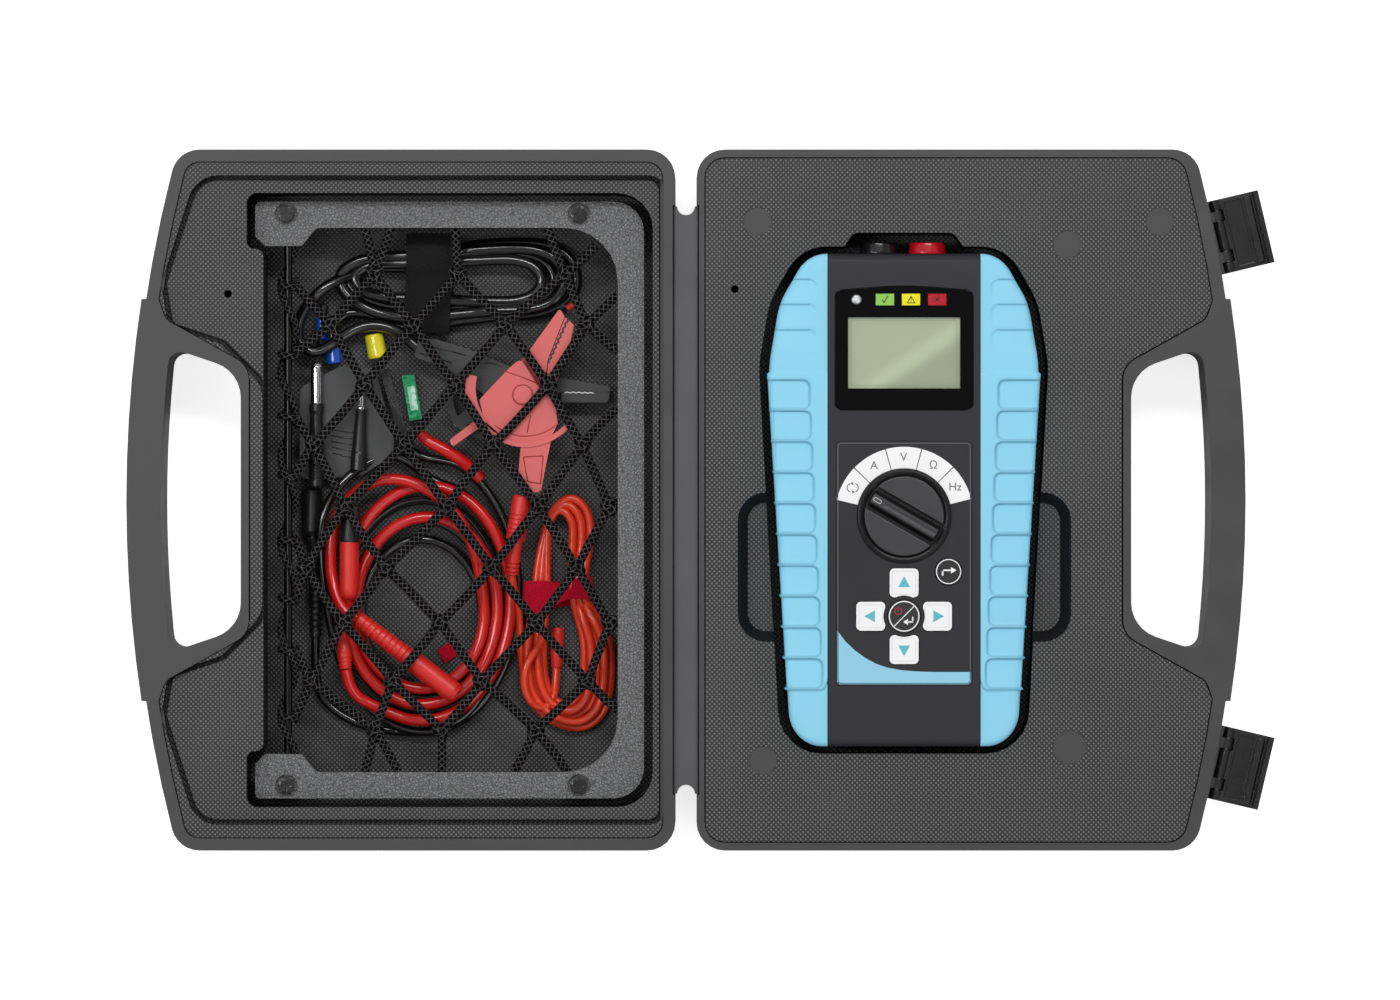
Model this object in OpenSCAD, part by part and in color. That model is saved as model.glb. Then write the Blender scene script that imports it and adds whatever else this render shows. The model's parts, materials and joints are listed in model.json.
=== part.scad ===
// Carry case, open flat, with a hand-held electrical tester in its base
// and test leads, clips and adaptors behind an elastic net in its lid.
// Origin: bottom centre of the open case. +X runs from the lid to the tester, +Z is up.

/* [Case] */
// Width of each half, from its hinge edge to the crown of its outer side
half_w = 213; // [180:1:240]
// Length of the case along the hinge
case_l = 272; // [240:1:300]
// Height of each half, from its underside to its rim
rim_z = 46; // [40:1:60]
// Radius of the bowed outer sides
side_r = 518.25; // [400:0.25:700]
// Radius of the case's corners, seen from above
corner_r = 11; // [6:0.5:20]
// How far the handle zone stands out past the rest of the outer side
handle_proud = 1.75; // [0:0.25:4]
// Half the length of the handle zone
handle_half = 78; // [60:1:90]
// Distance between the two fold lines
fold_gap = 8.2; // [6:0.1:12]
// X of the base's fold line
fold_x = -1.75; // [-4:0.05:0]
// Wall beside the handle hole
hole_wall = 3; // [2:0.1:5]
// Thickness of the case's floors
floor_t = 2.5; // [2:0.1:4]

/* [Tester] */
// X of the tester's centre line
tester_x = 78.6; // [70:0.1:90]
// Underside of the tester, in its recess
tester_z = 13.3; // [8:0.1:20]
// Thickness of the tester
tester_t = 40.2; // [30:0.1:50]
// Gap around the tester in its recess
recess_gap = 3; // [1:0.5:5]
// Half the width of the strip between the rubber boots
seam_x = 29.4; // [20:0.1:40]
// Thickness of the rubber boots
boot_t = 2.6; // [1.5:0.1:4]
// Y of the selector knob
knob_y = -6.2; // [-20:0.1:10]
// Radius of the knob's skirt
knob_r = 18.3; // [12:0.1:22]
// Direction that the knob points in
knob_turn = 150; // [90:1:180]
// Y of the middle of the key cross
keys_y = -45; // [-60:0.5:-30]
// Distance between the centres of the two sockets
socket_pitch = 19; // [14:1:25]
// Bore of the sockets
socket_bore = 4; // [3.5:0.1:5]

/* [Lid] */
// Depth of the step inside the lid's textured band
lid_step = 3.6; // [2:0.1:6]
// Top of the net frame above the case's underside
frame_top = 31.1; // [25:0.1:32]
// Thickness of the net frame
frame_t = 5.8; // [4:0.1:8]
// Diameter of the elastic cord in the net
net_d = 3; // [2:0.1:4]
// Diameter of the rod that the net hooks onto
rod_d = 3.2; // [2.5:0.1:5]

/* [Hidden] */
$fn = 48;
tiny = 0.05;
base_u = fold_x;
lid_u = fold_x - fold_gap;
fold_z = rim_z - fold_gap / 2 + 0.15;
strip_t = 1.9;
strip_half = 114;
tray_z = rim_z - 0.4;
tray_t = 2.2;
base_rim = 3;
base_rim_outer = 5;
lid_rim = 4.7;
ledge = 1.2;
foot_inset = 6.3;
seam_gap = 0.5;
pocket_z = tester_z - 0.3;
finger_z = 37;
finger_slope = 4;
lid_panel_z = tray_z - lid_step;
panel_groove_w = 2;
panel_groove_t = 2;
lid_floor_z = 4.8;
latch_u = 204.4;
latch_y = 102.45;
latch_tilt = 13.3;
latch_w = 28.8;
latch_reach = 17.45;
latch_z = 38;
latch_pin_r = 0.9;
barrel_r = 2.1;
ledge_gap = 0.4;
front_z = tester_z + tester_t;
split_z = tester_z + tester_t / 2;
socket_z = split_z;
plate_z = front_z - 2.2;
core_z0 = tester_z + 2.3;
core_z1 = front_z - 2.3;
board_z = 46.2;
board_t = 1.6;
board_top = board_z + board_t;
knob_z = front_z + 0.1;
shaft_r = 3.5;
key_top = front_z + 0.9;
key_pitch = 12.9;
key_cut_r = 8;
indicator_y = 77.6;
net_z = frame_top - frame_t / 2;
rod_x = -160.9;
screw_x = [-161.5, -47.5];
screw_y = 111.3;
cap_z = 17.2;

// ---- outlines ----

function unit(v) = v / norm(v);

function flat(p) = [p[0], p[1]];

// Points on an arc, leaving out skip points at each end
function arc(c, r, a0, a1, n = 6, skip = 0) =
    [for (i = [skip:n - skip]) c + r * [cos(a0 + (a1 - a0) * i / n), sin(a0 + (a1 - a0) * i / n)]];

// The arc of radius r that rounds the corner a, b, c
function fillet(a, b, c, r, n) =
    r <= 0 ? [b] :
    let (v = unit(a - b), w = unit(c - b), half = acos(v * w) / 2, t = r / tan(half),
        m = b + unit(v + w) * r / sin(half), p = b + v * t - m, q = b + w * t - m,
        a0 = atan2(p[1], p[0]), turn = atan2(q[1], q[0]) - a0,
        sweep = turn > 180 ? turn - 360 : turn < -180 ? turn + 360 : turn)
    arc(m, r, a0, a0 + sweep, n);

// An outline from corners [x, y, radius]
function rounded(p, n = 6) =
    [for (i = [0:len(p) - 1])
        each fillet(flat(p[(i + len(p) - 1) % len(p)]), flat(p[i]), flat(p[(i + 1) % len(p)]), p[i][2], n)];

// Counter-clockwise corners moved outwards by d, inwards where d is negative
function grown(p, d) =
    [for (i = [0:len(p) - 1])
        let (a = flat(p[(i + len(p) - 1) % len(p)]), b = flat(p[i]), c = flat(p[(i + 1) % len(p)]),
            e = unit(b - a), f = unit(c - b), m = [e[1] + f[1], -e[0] - f[0]],
            q = b + m * 2 * d / (m * m), bend = e[0] * f[1] - e[1] * f[0],
            r = p[i][2] <= 0 ? 0 : max(p[i][2] + (bend > 0 ? d : -d), 0.3))
        [q[0], q[1], r]];

// Corners on the +X side, with their mirror images after them
function both_x(p) = concat(p, [for (i = [len(p) - 1:-1:0]) [-p[i][0], p[i][1], p[i][2]]]);

// Corners on the -Y side, with their mirror images after them
function both_y(p) = concat(p, [for (i = [len(p) - 1:-1:0]) [p[i][0], -p[i][1], p[i][2]]]);

function rect(x0, x1, y0, y1, r) = [[x0, y0, r], [x1, y0, r], [x1, y1, r], [x0, y1, r]];

function ellipse(c, a, b, n = 48) = [for (i = [0:n - 1]) c + [a * cos(i * 360 / n), b * sin(i * 360 / n)]];

// A half of the case seen from above: u runs out from its fold line.
// d is the inset from three sides, o the inset from the bowed outer side.
function half_outline(d, o) =
    let (h = case_l / 2 - d, big = side_r - o, cu = half_w - handle_proud - side_r,
        r = max(corner_r - d, 3), cx = cu + sqrt(pow(big - r, 2) - pow(h - r, 2)),
        a = atan2(h - r, cx - cu))
    concat(
        arc([d + r, -h + r], r, 180, 270),
        arc([cx, -h + r], r, 270, 360 - a),
        arc([cu, 0], big, -a, a, 14, 1),
        arc([cx, h - r], r, a, 90),
        arc([d + r, h - r], r, 90, 180));

// The bowed line a distance o inside the handle zone's crown, for y from -y1 to y1
function bowed(o, y1, n = 10) =
    let (big = side_r + handle_proud - o, cu = half_w - handle_proud - side_r, a = asin(y1 / big))
    [for (p = arc([cu, 0], big, -a, a, n)) [p[0], p[1], 0]];

hole_half = both_y([[168.6, -49.8, 14], [196.3, -59.2, 5]]);
hole_corners = concat([hole_half[0], hole_half[1]], bowed(13.4, 49.4), [hole_half[2], hole_half[3]]);
grip_block = both_y([[165.5, -52, 9], [197.8, -70, 6], [201.3, -80, 3], [240, -80, 0]]);
tester_corners = both_x([[45, -95.4, 14], [53.2, 52, 40], [49.2, 76, 30], [38, 95.4, 14]]);

function tester_outline(d = 0) = rounded(grown(tester_corners, -d));

// ---- shared solids ----

module slab(points, z0, z1) {
    translate([0, 0, z0])
        linear_extrude(z1 - z0)
            polygon(points);
}

module box(x0, x1, y0, y1, z0, z1) {
    translate([x0, y0, z0])
        cube([x1 - x0, y1 - y0, z1 - z0]);
}

module post(x, y, z0, z1, r, r2 = 0) {
    translate([x, y, z0])
        cylinder(h = z1 - z0, r1 = r, r2 = r2 > 0 ? r2 : r);
}

// A round bar along Y
module bar_y(x, z, y0, y1, r, r2 = 0) {
    translate([x, y0, z])
        rotate([-90, 0, 0])
            cylinder(h = y1 - y0, r1 = r, r2 = r2 > 0 ? r2 : r);
}

module base_place() {
    translate([base_u, 0, 0])
        children();
}

module lid_place() {
    translate([lid_u, 0, 0])
        mirror([1, 0, 0])
            children();
}

module tester_place() {
    translate([tester_x, 0, 0])
        children();
}

// At a latch's pin, with X pointing out of the case and Y along its side
module latch_place(side) {
    translate([latch_u, side * latch_y, latch_z])
        rotate([0, 0, side * latch_tilt])
            children();
}

// ---- case halves ----

module half_outside() {
    hull() {
        slab(half_outline(0, 0), 12, rim_z);
        slab(half_outline(0.9, 0.9), 7.5, 7.6);
        slab(half_outline(2.9, 2.9), 3.7, 3.8);
        slab(half_outline(5.6, 5.6), 1.2, 1.3);
        slab(half_outline(9, 9), 0, tiny);
    }
    slab(concat([[190, -handle_half]], [for (p = bowed(0, handle_half)) flat(p)], [[190, handle_half]]),
        9, rim_z);
}

module half_inside(rim, rim_outer) {
    hull() {
        slab(half_outline(rim + ledge, rim_outer + ledge), 13, tray_z - tray_t);
        slab(half_outline(max(rim + ledge, foot_inset), max(rim_outer + ledge, foot_inset)),
            floor_t, floor_t + tiny);
    }
}

// The opening that the tray fills, made narrower by gap
module tray_opening(rim, rim_outer, gap, z0, z1) {
    difference() {
        slab(half_outline(rim + gap, rim_outer + gap), z0, z1);
        slab(rounded(grown(grip_block, gap)), z0 - 1, z1 + 1);
    }
}

// The groove in which the fold strip's round edge turns
module fold_groove() {
    r = strip_t / 2 + 0.1;
    bar_y(0, fold_z, -strip_half - 0.4, strip_half + 0.4, r);
    box(-2, r, -strip_half - 0.4, strip_half + 0.4, fold_z, rim_z + 1);
}

module half_shell(rim, rim_outer) {
    difference() {
        union() {
            difference() {
                half_outside();
                half_inside(rim, rim_outer);
                tray_opening(rim, rim_outer, 0, tray_z - tray_t - tiny, rim_z + 1);
            }
            slab(rounded(grown(hole_corners, hole_wall)), 1, rim_z);
        }
        slab(rounded(hole_corners), -1, rim_z + 1);
        fold_groove();
    }
}

module latch_ears(side) {
    latch_place(side)
        for (y = [-8, 8])
            difference() {
                union() {
                    translate([0, y - 2, 0])
                        rotate([-90, 0, 0])
                            cylinder(h = 4, r = barrel_r);
                    box(-5.5, 0, y - 2, y + 2, -barrel_r, barrel_r);
                }
                translate([0, y - 3, 0])
                    rotate([-90, 0, 0])
                        cylinder(h = 6, r = latch_pin_r + 0.02);
            }
}

// A ledge behind and under a latch's barrel, where the open latch rests
module latch_ledge(side) {
    latch_place(side) {
        box(-5.5, -barrel_r - ledge_gap, -latch_w / 2, latch_w / 2, -barrel_r - 2, barrel_r);
        box(-5.5, 3.4, -latch_w / 2, latch_w / 2, -barrel_r - 2, -barrel_r - ledge_gap);
    }
}

module base_shell() {
    color("#474849")
        base_place() {
            half_shell(base_rim, base_rim_outer);
            for (side = [-1, 1]) {
                latch_ears(side);
                latch_ledge(side);
            }
            for (u = [48, 113], y = [-70, 70])
                post(u, y, floor_t - tiny, pocket_z - tray_t, 4);
        }
}

module hook_slot(side) {
    translate([latch_u, side * latch_y, 0])
        rotate([0, 0, side * latch_tilt])
            box(-6, 10, -13.4, 13.4, rim_z - 14, rim_z - 2.6);
}

module lid_shell() {
    color("#474849")
        lid_place()
            difference() {
                half_shell(lid_rim, lid_rim);
                for (side = [-1, 1])
                    hook_slot(side);
            }
}

pocket_corners = grown(tester_corners, recess_gap);
bump_corners = [[-24.5, 90, 0], [24.5, 90, 0], [23, 98.5, 2], [19.5, 103.7, 4], [-19.5, 103.7, 4], [-23, 98.5, 2]];
finger_corners = rect(-64.4, 65, -55, 3, 11);
mark_spots = [[142, 99, 5.5], [143, -96, 6.6], [22, 108, 5.5], [178, 108, 5.5], [24, -101, 5.5]];

module recess(corners, wall, z0, z1) {
    tester_place()
        slab(rounded(grown(corners, wall)), z0, z1);
}

// The finger recess, or with wall its outside: its sides slope in towards its floor
module finger_recess(wall, z0, z1) {
    tester_place()
        hull() {
            slab(rounded(grown(finger_corners, wall)), z1, z1 + tiny);
            slab(rounded(grown(finger_corners, wall - finger_slope)), z0, z0 + tiny);
        }
}

module base_tray() {
    color("#454647")
        difference() {
            union() {
                base_place()
                    tray_opening(base_rim, base_rim_outer, seam_gap, tray_z - tray_t, tray_z);
                recess(pocket_corners, tray_t, pocket_z - tray_t, tray_z - 0.5);
                recess(bump_corners, tray_t, pocket_z - tray_t, tray_z - 0.5);
                finger_recess(tray_t, finger_z - tray_t, tray_z - 0.5);
            }
            recess(pocket_corners, 0, pocket_z, rim_z + 1);
            recess(bump_corners, 0, pocket_z, rim_z + 1);
            finger_recess(0, finger_z, tray_z);
            post(13.1, 81.8, tray_z - 5, rim_z + 1, 1.5);
            for (m = mark_spots)
                post(m[0], m[1], tray_z - 0.35, rim_z + 1, m[2]);
        }
}

// Edge of the lid's raised band, and the compartment inside it
lid_panel_corners = concat(
    [[4.4, -126, 6], [186, -126, 12], [199.5, -84, 0], [196.8, -67.2, 5], [176.3, -60.5, 4],
        [160.2, -44.5, 12]],
    [[160.2, 44.5, 12], [176.3, 60.5, 4], [196.8, 67.2, 5], [199.5, 84, 0], [186, 126, 12], [4.4, 126, 6]]);
well_corners = [[8.75, -119.3, 14], [166.5, -119.3, 4], [166.5, -97.5, 3], [160, -97.5, 3],
    [160, 97.5, 3], [166.5, 97.5, 3], [166.5, 119.3, 4], [8.75, 119.3, 14]];

module lid_tray() {
    color("#454647")
        difference() {
            union() {
                lid_place() {
                    tray_opening(lid_rim, lid_rim, seam_gap, tray_z - tray_t, tray_z);
                    intersection() {
                        slab(rounded(grown(lid_panel_corners, tray_t)), lid_panel_z - tray_t - panel_groove_t,
                            tray_z - 0.5);
                        tray_opening(lid_rim + ledge, lid_rim + ledge, 0.2, 0, rim_z);
                    }
                    slab(rounded(grown(well_corners, tray_t)), floor_t, lid_panel_z - 0.5);
                }
            }
            lid_place() {
                slab(rounded(lid_panel_corners), lid_panel_z, rim_z + 1);
                difference() {
                    slab(rounded(lid_panel_corners), lid_panel_z - panel_groove_t, lid_panel_z + tiny);
                    slab(rounded(grown(lid_panel_corners, -panel_groove_w)), 0, rim_z);
                }
                slab(rounded(well_corners), lid_floor_z, rim_z + 1);
            }
            post(-183.7, 80, lid_panel_z - 5, rim_z + 1, 1.5);
        }
    color("#454647")
        for (x = screw_x, y = [-screw_y, screw_y])
            difference() {
                post(x, y, lid_floor_z, frame_top - frame_t, 5);
                post(x, y, frame_top - frame_t - 12, frame_top, 1.65);
            }
}

module hinge_strip() {
    color("#4b4c4d")
        difference() {
            union() {
                box(lid_u, fold_x, -strip_half, strip_half, fold_z - strip_t / 2, fold_z + strip_t / 2);
                for (x = [lid_u, fold_x])
                    bar_y(x, fold_z, -strip_half, strip_half, strip_t / 2);
            }
            for (y = [-strip_half, strip_half])
                post((lid_u + fold_x) / 2, y, 0, rim_z, 3.4);
        }
}

// ---- latches ----

module latch(side) {
    color("#262728")
        base_place()
            latch_place(side)
                difference() {
                    union() {
                        box(0, latch_reach, -latch_w / 2, latch_w / 2, -barrel_r, 1.1);
                        box(11.2, 13.2, -12.8, 12.8, 0, 4.2);
                        for (x = [14, 15.4])
                            box(x, x + 0.8, -latch_w / 2, latch_w / 2, 0, 1.9);
                        translate([0, -latch_w / 2, 0])
                            rotate([-90, 0, 0])
                                cylinder(h = latch_w, r = barrel_r);
                    }
                    translate([0, -latch_w, 0])
                        rotate([-90, 0, 0])
                            cylinder(h = 2 * latch_w, r = latch_pin_r + 0.05);
                    for (y = [-8, 8])
                        box(-3, 2.5, y - 2.3, y + 2.3, -3, 3);
                    box(3.6, 10, -12.6, 12.6, 0.2, 6);
                }
}

module latch_top() {
    latch(1);
}

module latch_bottom() {
    latch(-1);
}

module latch_pins() {
    color("#9a9b9c")
        base_place()
            for (side = [-1, 1])
                latch_place(side)
                    translate([0, -latch_w / 2 + 0.3, 0])
                        rotate([-90, 0, 0])
                            cylinder(h = latch_w - 0.6, r = latch_pin_r);
}

// ---- net frame ----

frame_corners = [[-173.6, -116.2, 2], [-22.2, -116.2, 12], [-22.2, 116.2, 12], [-173.6, 116.2, 2]];
frame_hole_end = [[-150, 106, 4], [-155.5, 98.9, 2], [-169.8, 98.9, 1], [-173.8, 103, 0], [-185, 103, 0]];
frame_hole = concat([[-32.4, 106, 21]], frame_hole_end,
    [for (i = [4:-1:0]) [frame_hole_end[i][0], -frame_hole_end[i][1], frame_hole_end[i][2]]], [[-32.4, -106, 21]]);

module net_frame() {
    color("#565759")
        difference() {
            slab(rounded(frame_corners), frame_top - frame_t, frame_top);
            slab(rounded(frame_hole), frame_top - frame_t - 1, frame_top + 1);
            for (x = screw_x, y = [-screw_y, screw_y]) {
                post(x, y, 0, rim_z, 1.75);
                post(x, y, frame_top - 2.2, rim_z, 4.5);
            }
            bar_y(rod_x, net_z, -104, 104, rod_d / 2 + 0.03);
        }
}

module net_rod() {
    color("#3a3b3c")
        bar_y(rod_x, net_z, -103.8, 103.8, rod_d / 2);
}

module frame_screws() {
    color("#b4b4b2")
        for (x = screw_x, y = [-screw_y, screw_y])
            difference() {
                union() {
                    post(x, y, frame_top - 2.2, frame_top - 0.7, 3.2);
                    post(x, y, frame_top - 13, frame_top - 2.2, 1.6);
                }
                box(x - 1.9, x + 1.9, y - 0.4, y + 0.4, frame_top - 1.5, frame_top);
                box(x - 0.4, x + 0.4, y - 1.9, y + 1.9, frame_top - 1.5, frame_top);
            }
}

// ---- elastic net ----

// Rows of knots: [y, [x of each knot]]
net_rows = [
    [88, [-127.1, -94.8, -53]], [68.3, [-144.3, -111.9, -76, -44.5]], [44.9, [-131, -96, -59.7]],
    [21.5, [-150.9, -115.8, -81.1, -46.4]], [-2.7, [-138.8, -99.1, -63.6, -35.6]],
    [-26.5, [-154, -122.9, -81.5, -48.4]], [-48, [-139.6, -101.8, -64, -35.6]],
    [-70.6, [-152, -120.1, -85.4, -44.1]], [-89.7, [-127.1, -101, -64.7]]];
// A strand joins knots of neighbouring rows that are no further apart in x than this
net_reach = 27;
// Strands from a knot [row, place] to the frame or to a loop on the rod
net_ends = [
    [[0, 0], [-131, 105.7]], [[0, 0], [-121, 105.7]], [[0, 1], [-95.7, 105.7]], [[0, 2], [-60, 105.7]],
    [[0, 2], [-41, 99]], [[1, 3], [-32.7, 80]], [[1, 3], [-32.7, 58]], [[3, 3], [-32.7, 36]],
    [[8, 0], [-131, -105.7]], [[8, 0], [-118, -105.7]], [[8, 1], [-101, -105.7]], [[8, 2], [-73, -105.7]],
    [[8, 2], [-52, -105.7]], [[7, 3], [-32.7, -82]], [[1, 0], [rod_x, 84]], [[1, 0], [rod_x, 57]],
    [[3, 0], [rod_x, 33]], [[3, 0], [rod_x, 10]], [[5, 0], [rod_x, -15]], [[5, 0], [rod_x, -38]],
    [[7, 0], [rod_x, -58]], [[7, 0], [rod_x, -84]]];

function knot(i, j) = [net_rows[i][1][j], net_rows[i][0]];

module strand(p, q) {
    d = q - p;
    translate([p[0], p[1], net_z])
        rotate([0, 0, atan2(d[1], d[0])])
            translate([0, -net_d * 0.44, -net_d * 0.44])
                cube([norm(d), net_d * 0.88, net_d * 0.88]);
}

module elastic_net() {
    color("#1b191b") {
        for (i = [0:len(net_rows) - 1], j = [0:len(net_rows[i][1]) - 1])
            translate([knot(i, j)[0], knot(i, j)[1], net_z - 1.9])
                cylinder(h = 3.8, r = 2.4, $fn = 10);
        for (i = [0:len(net_rows) - 2], j = [0:len(net_rows[i][1]) - 1], k = [0:len(net_rows[i + 1][1]) - 1])
            if (abs(knot(i, j)[0] - knot(i + 1, k)[0]) < net_reach)
                strand(knot(i, j), knot(i + 1, k));
        for (e = net_ends)
            if (e[1][0] > rod_x)
                strand(knot(e[0][0], e[0][1]), e[1]);
            else {
                strand(knot(e[0][0], e[0][1]), e[1] + [rod_d / 2 + 0.8, 0]);
                difference() {
                    bar_y(rod_x, net_z, e[1][1] - 2, e[1][1] + 2, rod_d / 2 + 1.3, $fn = 10);
                    bar_y(rod_x, net_z, e[1][1] - 3, e[1][1] + 3, (rod_d / 2 + 0.05) / cos(18), $fn = 10);
                }
            }
    }
}

// ---- tester ----

// The whole tester's rounded outside, or a smaller one inside it by d
module tester_body(d = 0) {
    hull()
        for (s = [[0, 3.2], [1.1, 1.1], [3.2, 0]])
            slab(tester_outline(s[1] + d), tester_z + d + s[0], front_z - d - s[0]);
}

boss_spots = [[40, 55], [-40, 55], [33, -82], [-33, -82]];

module housing() {
    difference() {
        union() {
            slab(tester_outline(boot_t), core_z0, core_z1);
            intersection() {
                tester_body();
                box(-seam_x, seam_x, -110, 110, 0, 80);
            }
        }
        slab(tester_outline(boot_t + 2.2), tester_z + 4.5, plate_z - 2);
        box(-seam_x + 2.2, seam_x - 2.2, -88, 88, plate_z - 3, plate_z);
        for (x = [-socket_pitch / 2, socket_pitch / 2])
            bar_y(x, socket_z, 80, 110, 6.13);
    }
}

bezel_corners = [[-26.8, 34.8, 3], [26.8, 34.8, 3], [26.8, 81.2, 3], [0, 83.2, 120], [-26.8, 81.2, 3]];
overlay_corners = rect(-26.3, 26.3, -71.8, 22.7, 1.5);
indicator_x = [-7.4, 2.7, 12.8];
led_x = -18.4;
shift_spot = [17.2, -27.7];
key_spots = [[0, key_pitch], [0, -key_pitch], [-key_pitch, 0], [key_pitch, 0]];

// An arrow key, or with gap its hole
module arrow_prism(i, gap, z0, z1) {
    p = [0, keys_y] + key_spots[i];
    difference() {
        slab(rounded(grown(rect(p[0] - 5.6, p[0] + 5.6, p[1] - 5.6, p[1] + 5.6, 1.8), gap)), z0, z1);
        post(0, keys_y, z0 - 1, z1 + 1, key_cut_r - gap);
    }
}

module key_holes(z0, z1) {
    for (i = [0:3])
        arrow_prism(i, 0.25, z0, z1);
    post(0, keys_y, z0, z1, 6.45);
    post(shift_spot[0], shift_spot[1], z0, z1, 5.35);
}

module front_lights(gap, z0, z1) {
    for (x = indicator_x)
        box(x - 3.55 - gap, x + 3.55 + gap, indicator_y - 2.25 - gap, indicator_y + 2.25 + gap, z0, z1);
    post(led_x, indicator_y, z0, z1, 2 + gap);
}

module housing_front() {
    color("#2c2b2f")
        tester_place()
            difference() {
                union() {
                    intersection() {
                        housing();
                        box(-80, 80, -110, 110, split_z, 80);
                    }
                    for (p = boss_spots)
                        post(p[0], p[1], split_z, plate_z - 1.9, 3.4);
                }
                slab(rounded(grown(bezel_corners, 0.2)), front_z - 1.2, 80);
                slab(rounded(grown(overlay_corners, 0.2)), front_z - 0.5, 80);
                box(-22.3, 22.3, 42.6, 71.3, 40, 80);
                front_lights(0.15, 40, 80);
                post(0, knob_y, 40, 80, shaft_r + 0.05);
                key_holes(plate_z - 1, 80);
                for (p = boss_spots)
                    post(p[0], p[1], split_z - 1, split_z + 11, 1.15);
            }
}

module housing_rear() {
    color("#2c2b2f")
        tester_place()
            difference() {
                union() {
                    intersection() {
                        housing();
                        box(-80, 80, -110, 110, 0, split_z);
                    }
                    for (p = boss_spots)
                        post(p[0], p[1], tester_z + 4.4, split_z, 3.4);
                }
                slab(rounded(rect(-25, 25, -80, -30, 3)), 0, tester_z + 2.2);
                slab(rounded(rect(-23.5, 23.5, -78.5, -31.5, 2)), 0, tester_z + 6);
                for (p = boss_spots) {
                    post(p[0], p[1], 0, 24, 3);
                    post(p[0], p[1], 20, 40, 1.5);
                }
            }
}

// Grip cells down the side, the plain end pieces, and three shallow grooves at the top
module boot_dips() {
    difference() {
        union() {
            for (i = [0:9])
                slab(rounded(rect(36.6 - 0.55 * i, 62, 35.3 - 12 * i, 46.4 - 12 * i, 2.6)), -1, 80);
            box(29.6, 62, 49.3, 110, -1, 80);
            slab(rounded([[20, -110, 0], [62, -110, 0], [62, -73.6, 0], [31.8, -73.6, 3], [29.7, -70, 0]]), -1, 80);
        }
        tester_body(0.7);
    }
    difference() {
        for (y = [84.6, 74.9, 65])
            slab(rounded(rect(33.5, 62, y - 1.3, y + 1.3, 1.2)), -1, 80);
        tester_body(1.3);
    }
}

module boot_right_solid() {
    difference() {
        intersection() {
            tester_body();
            box(seam_x + 0.2, 60, -110, 110, 0, 80);
        }
        slab(tester_outline(boot_t), core_z0, core_z1);
        boot_dips();
    }
}

module boot_right() {
    color("#8dd6f2")
        tester_place()
            boot_right_solid();
}

module boot_left() {
    color("#8dd6f2")
        tester_place()
            mirror([1, 0, 0])
                boot_right_solid();
}

module battery_door() {
    color("#29282b")
        tester_place()
            difference() {
                slab(rounded(rect(-24.8, 24.8, -79.8, -30.2, 3)), tester_z, tester_z + 2.1);
                for (i = [0:4])
                    box(-8, 8, -38 - 3 * i, -37 - 3 * i, 0, tester_z + 0.6);
            }
}

module batteries() {
    color("#b98d3c")
        tester_place()
            for (x = [-17.4, -5.8, 5.8, 17.4]) {
                bar_y(x, tester_z + 8.2, -77, -34.2, 5.2);
                bar_y(x, tester_z + 8.2, -34.2, -33, 1.9);
            }
}

module battery_contacts() {
    color("#c9c9c6")
        tester_place()
            for (y = [-78.2, -32.9])
                box(-22.5, 22.5, y, y + 0.5, tester_z + 4.5, tester_z + 13);
}

module circuit_board() {
    color("#1f5a3c")
        tester_place()
            difference() {
                slab(tester_outline(6.6), board_z, board_top);
                post(0, knob_y, 0, 80, shaft_r + 0.4);
                for (p = boss_spots)
                    post(p[0], p[1], 0, 80, 3.7);
            }
}

module lcd_module() {
    color("#aab58d")
        tester_place()
            box(-22, 22, 42.9, 71, board_top, front_z - 1.3);
}

module display_window() {
    color("#0d0d0f")
        tester_place()
            difference() {
                slab(rounded(bezel_corners), front_z - 1.2, front_z);
                box(-21.7, 21.7, 43.2, 70.7, 0, 80);
                front_lights(0.15, 0, 80);
            }
}

module overlay_panel() {
    color("#2a2a2d")
        tester_place()
            difference() {
                slab(rounded(overlay_corners), front_z - 0.5, front_z);
                post(0, knob_y, 0, 80, shaft_r + 0.5);
                key_holes(0, 80);
            }
}

module selector_knob() {
    color("#202022")
        tester_place()
            translate([0, knob_y, 0]) {
                post(0, 0, knob_z, knob_z + 1.2, knob_r, knob_r - 0.5);
                post(0, 0, knob_z + 1.2 - tiny, knob_z + 2.6, 15.4, 15.1);
                intersection() {
                    rotate([0, 0, knob_turn])
                        slab(rounded(rect(-14.6, 14.6, -3.5, 3.5, 0.8)), knob_z + 2, knob_z + 6.2);
                    post(0, 0, 0, 80, 14.8);
                }
                post(0, 0, board_z + 0.2, knob_z + tiny, shaft_r);
            }
}

module rotary_switch() {
    color("#3c4a57")
        tester_place()
            difference() {
                slab(rounded(rect(-11, 11, knob_y - 11, knob_y + 11, 1.5)), board_top, plate_z - 0.1);
                post(0, knob_y, 0, 80, shaft_r + 0.05);
            }
}

module keypad_mat() {
    color("#d8d8d4")
        tester_place()
            slab(rounded(rect(-21, 23, -66.5, -20.2, 3)), board_top, board_top + 0.9);
}

module arrow_key(i) {
    color("#f2f2f0")
        tester_place()
            arrow_prism(i, 0, board_top + 1.75, key_top);
}

module key_up() {
    arrow_key(0);
}

module key_down() {
    arrow_key(1);
}

module key_left() {
    arrow_key(2);
}

module key_right() {
    arrow_key(3);
}

module key_enter() {
    color("#1a1a1c")
        tester_place()
            post(0, keys_y, board_top + 1.75, key_top, 6.2);
}

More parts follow.
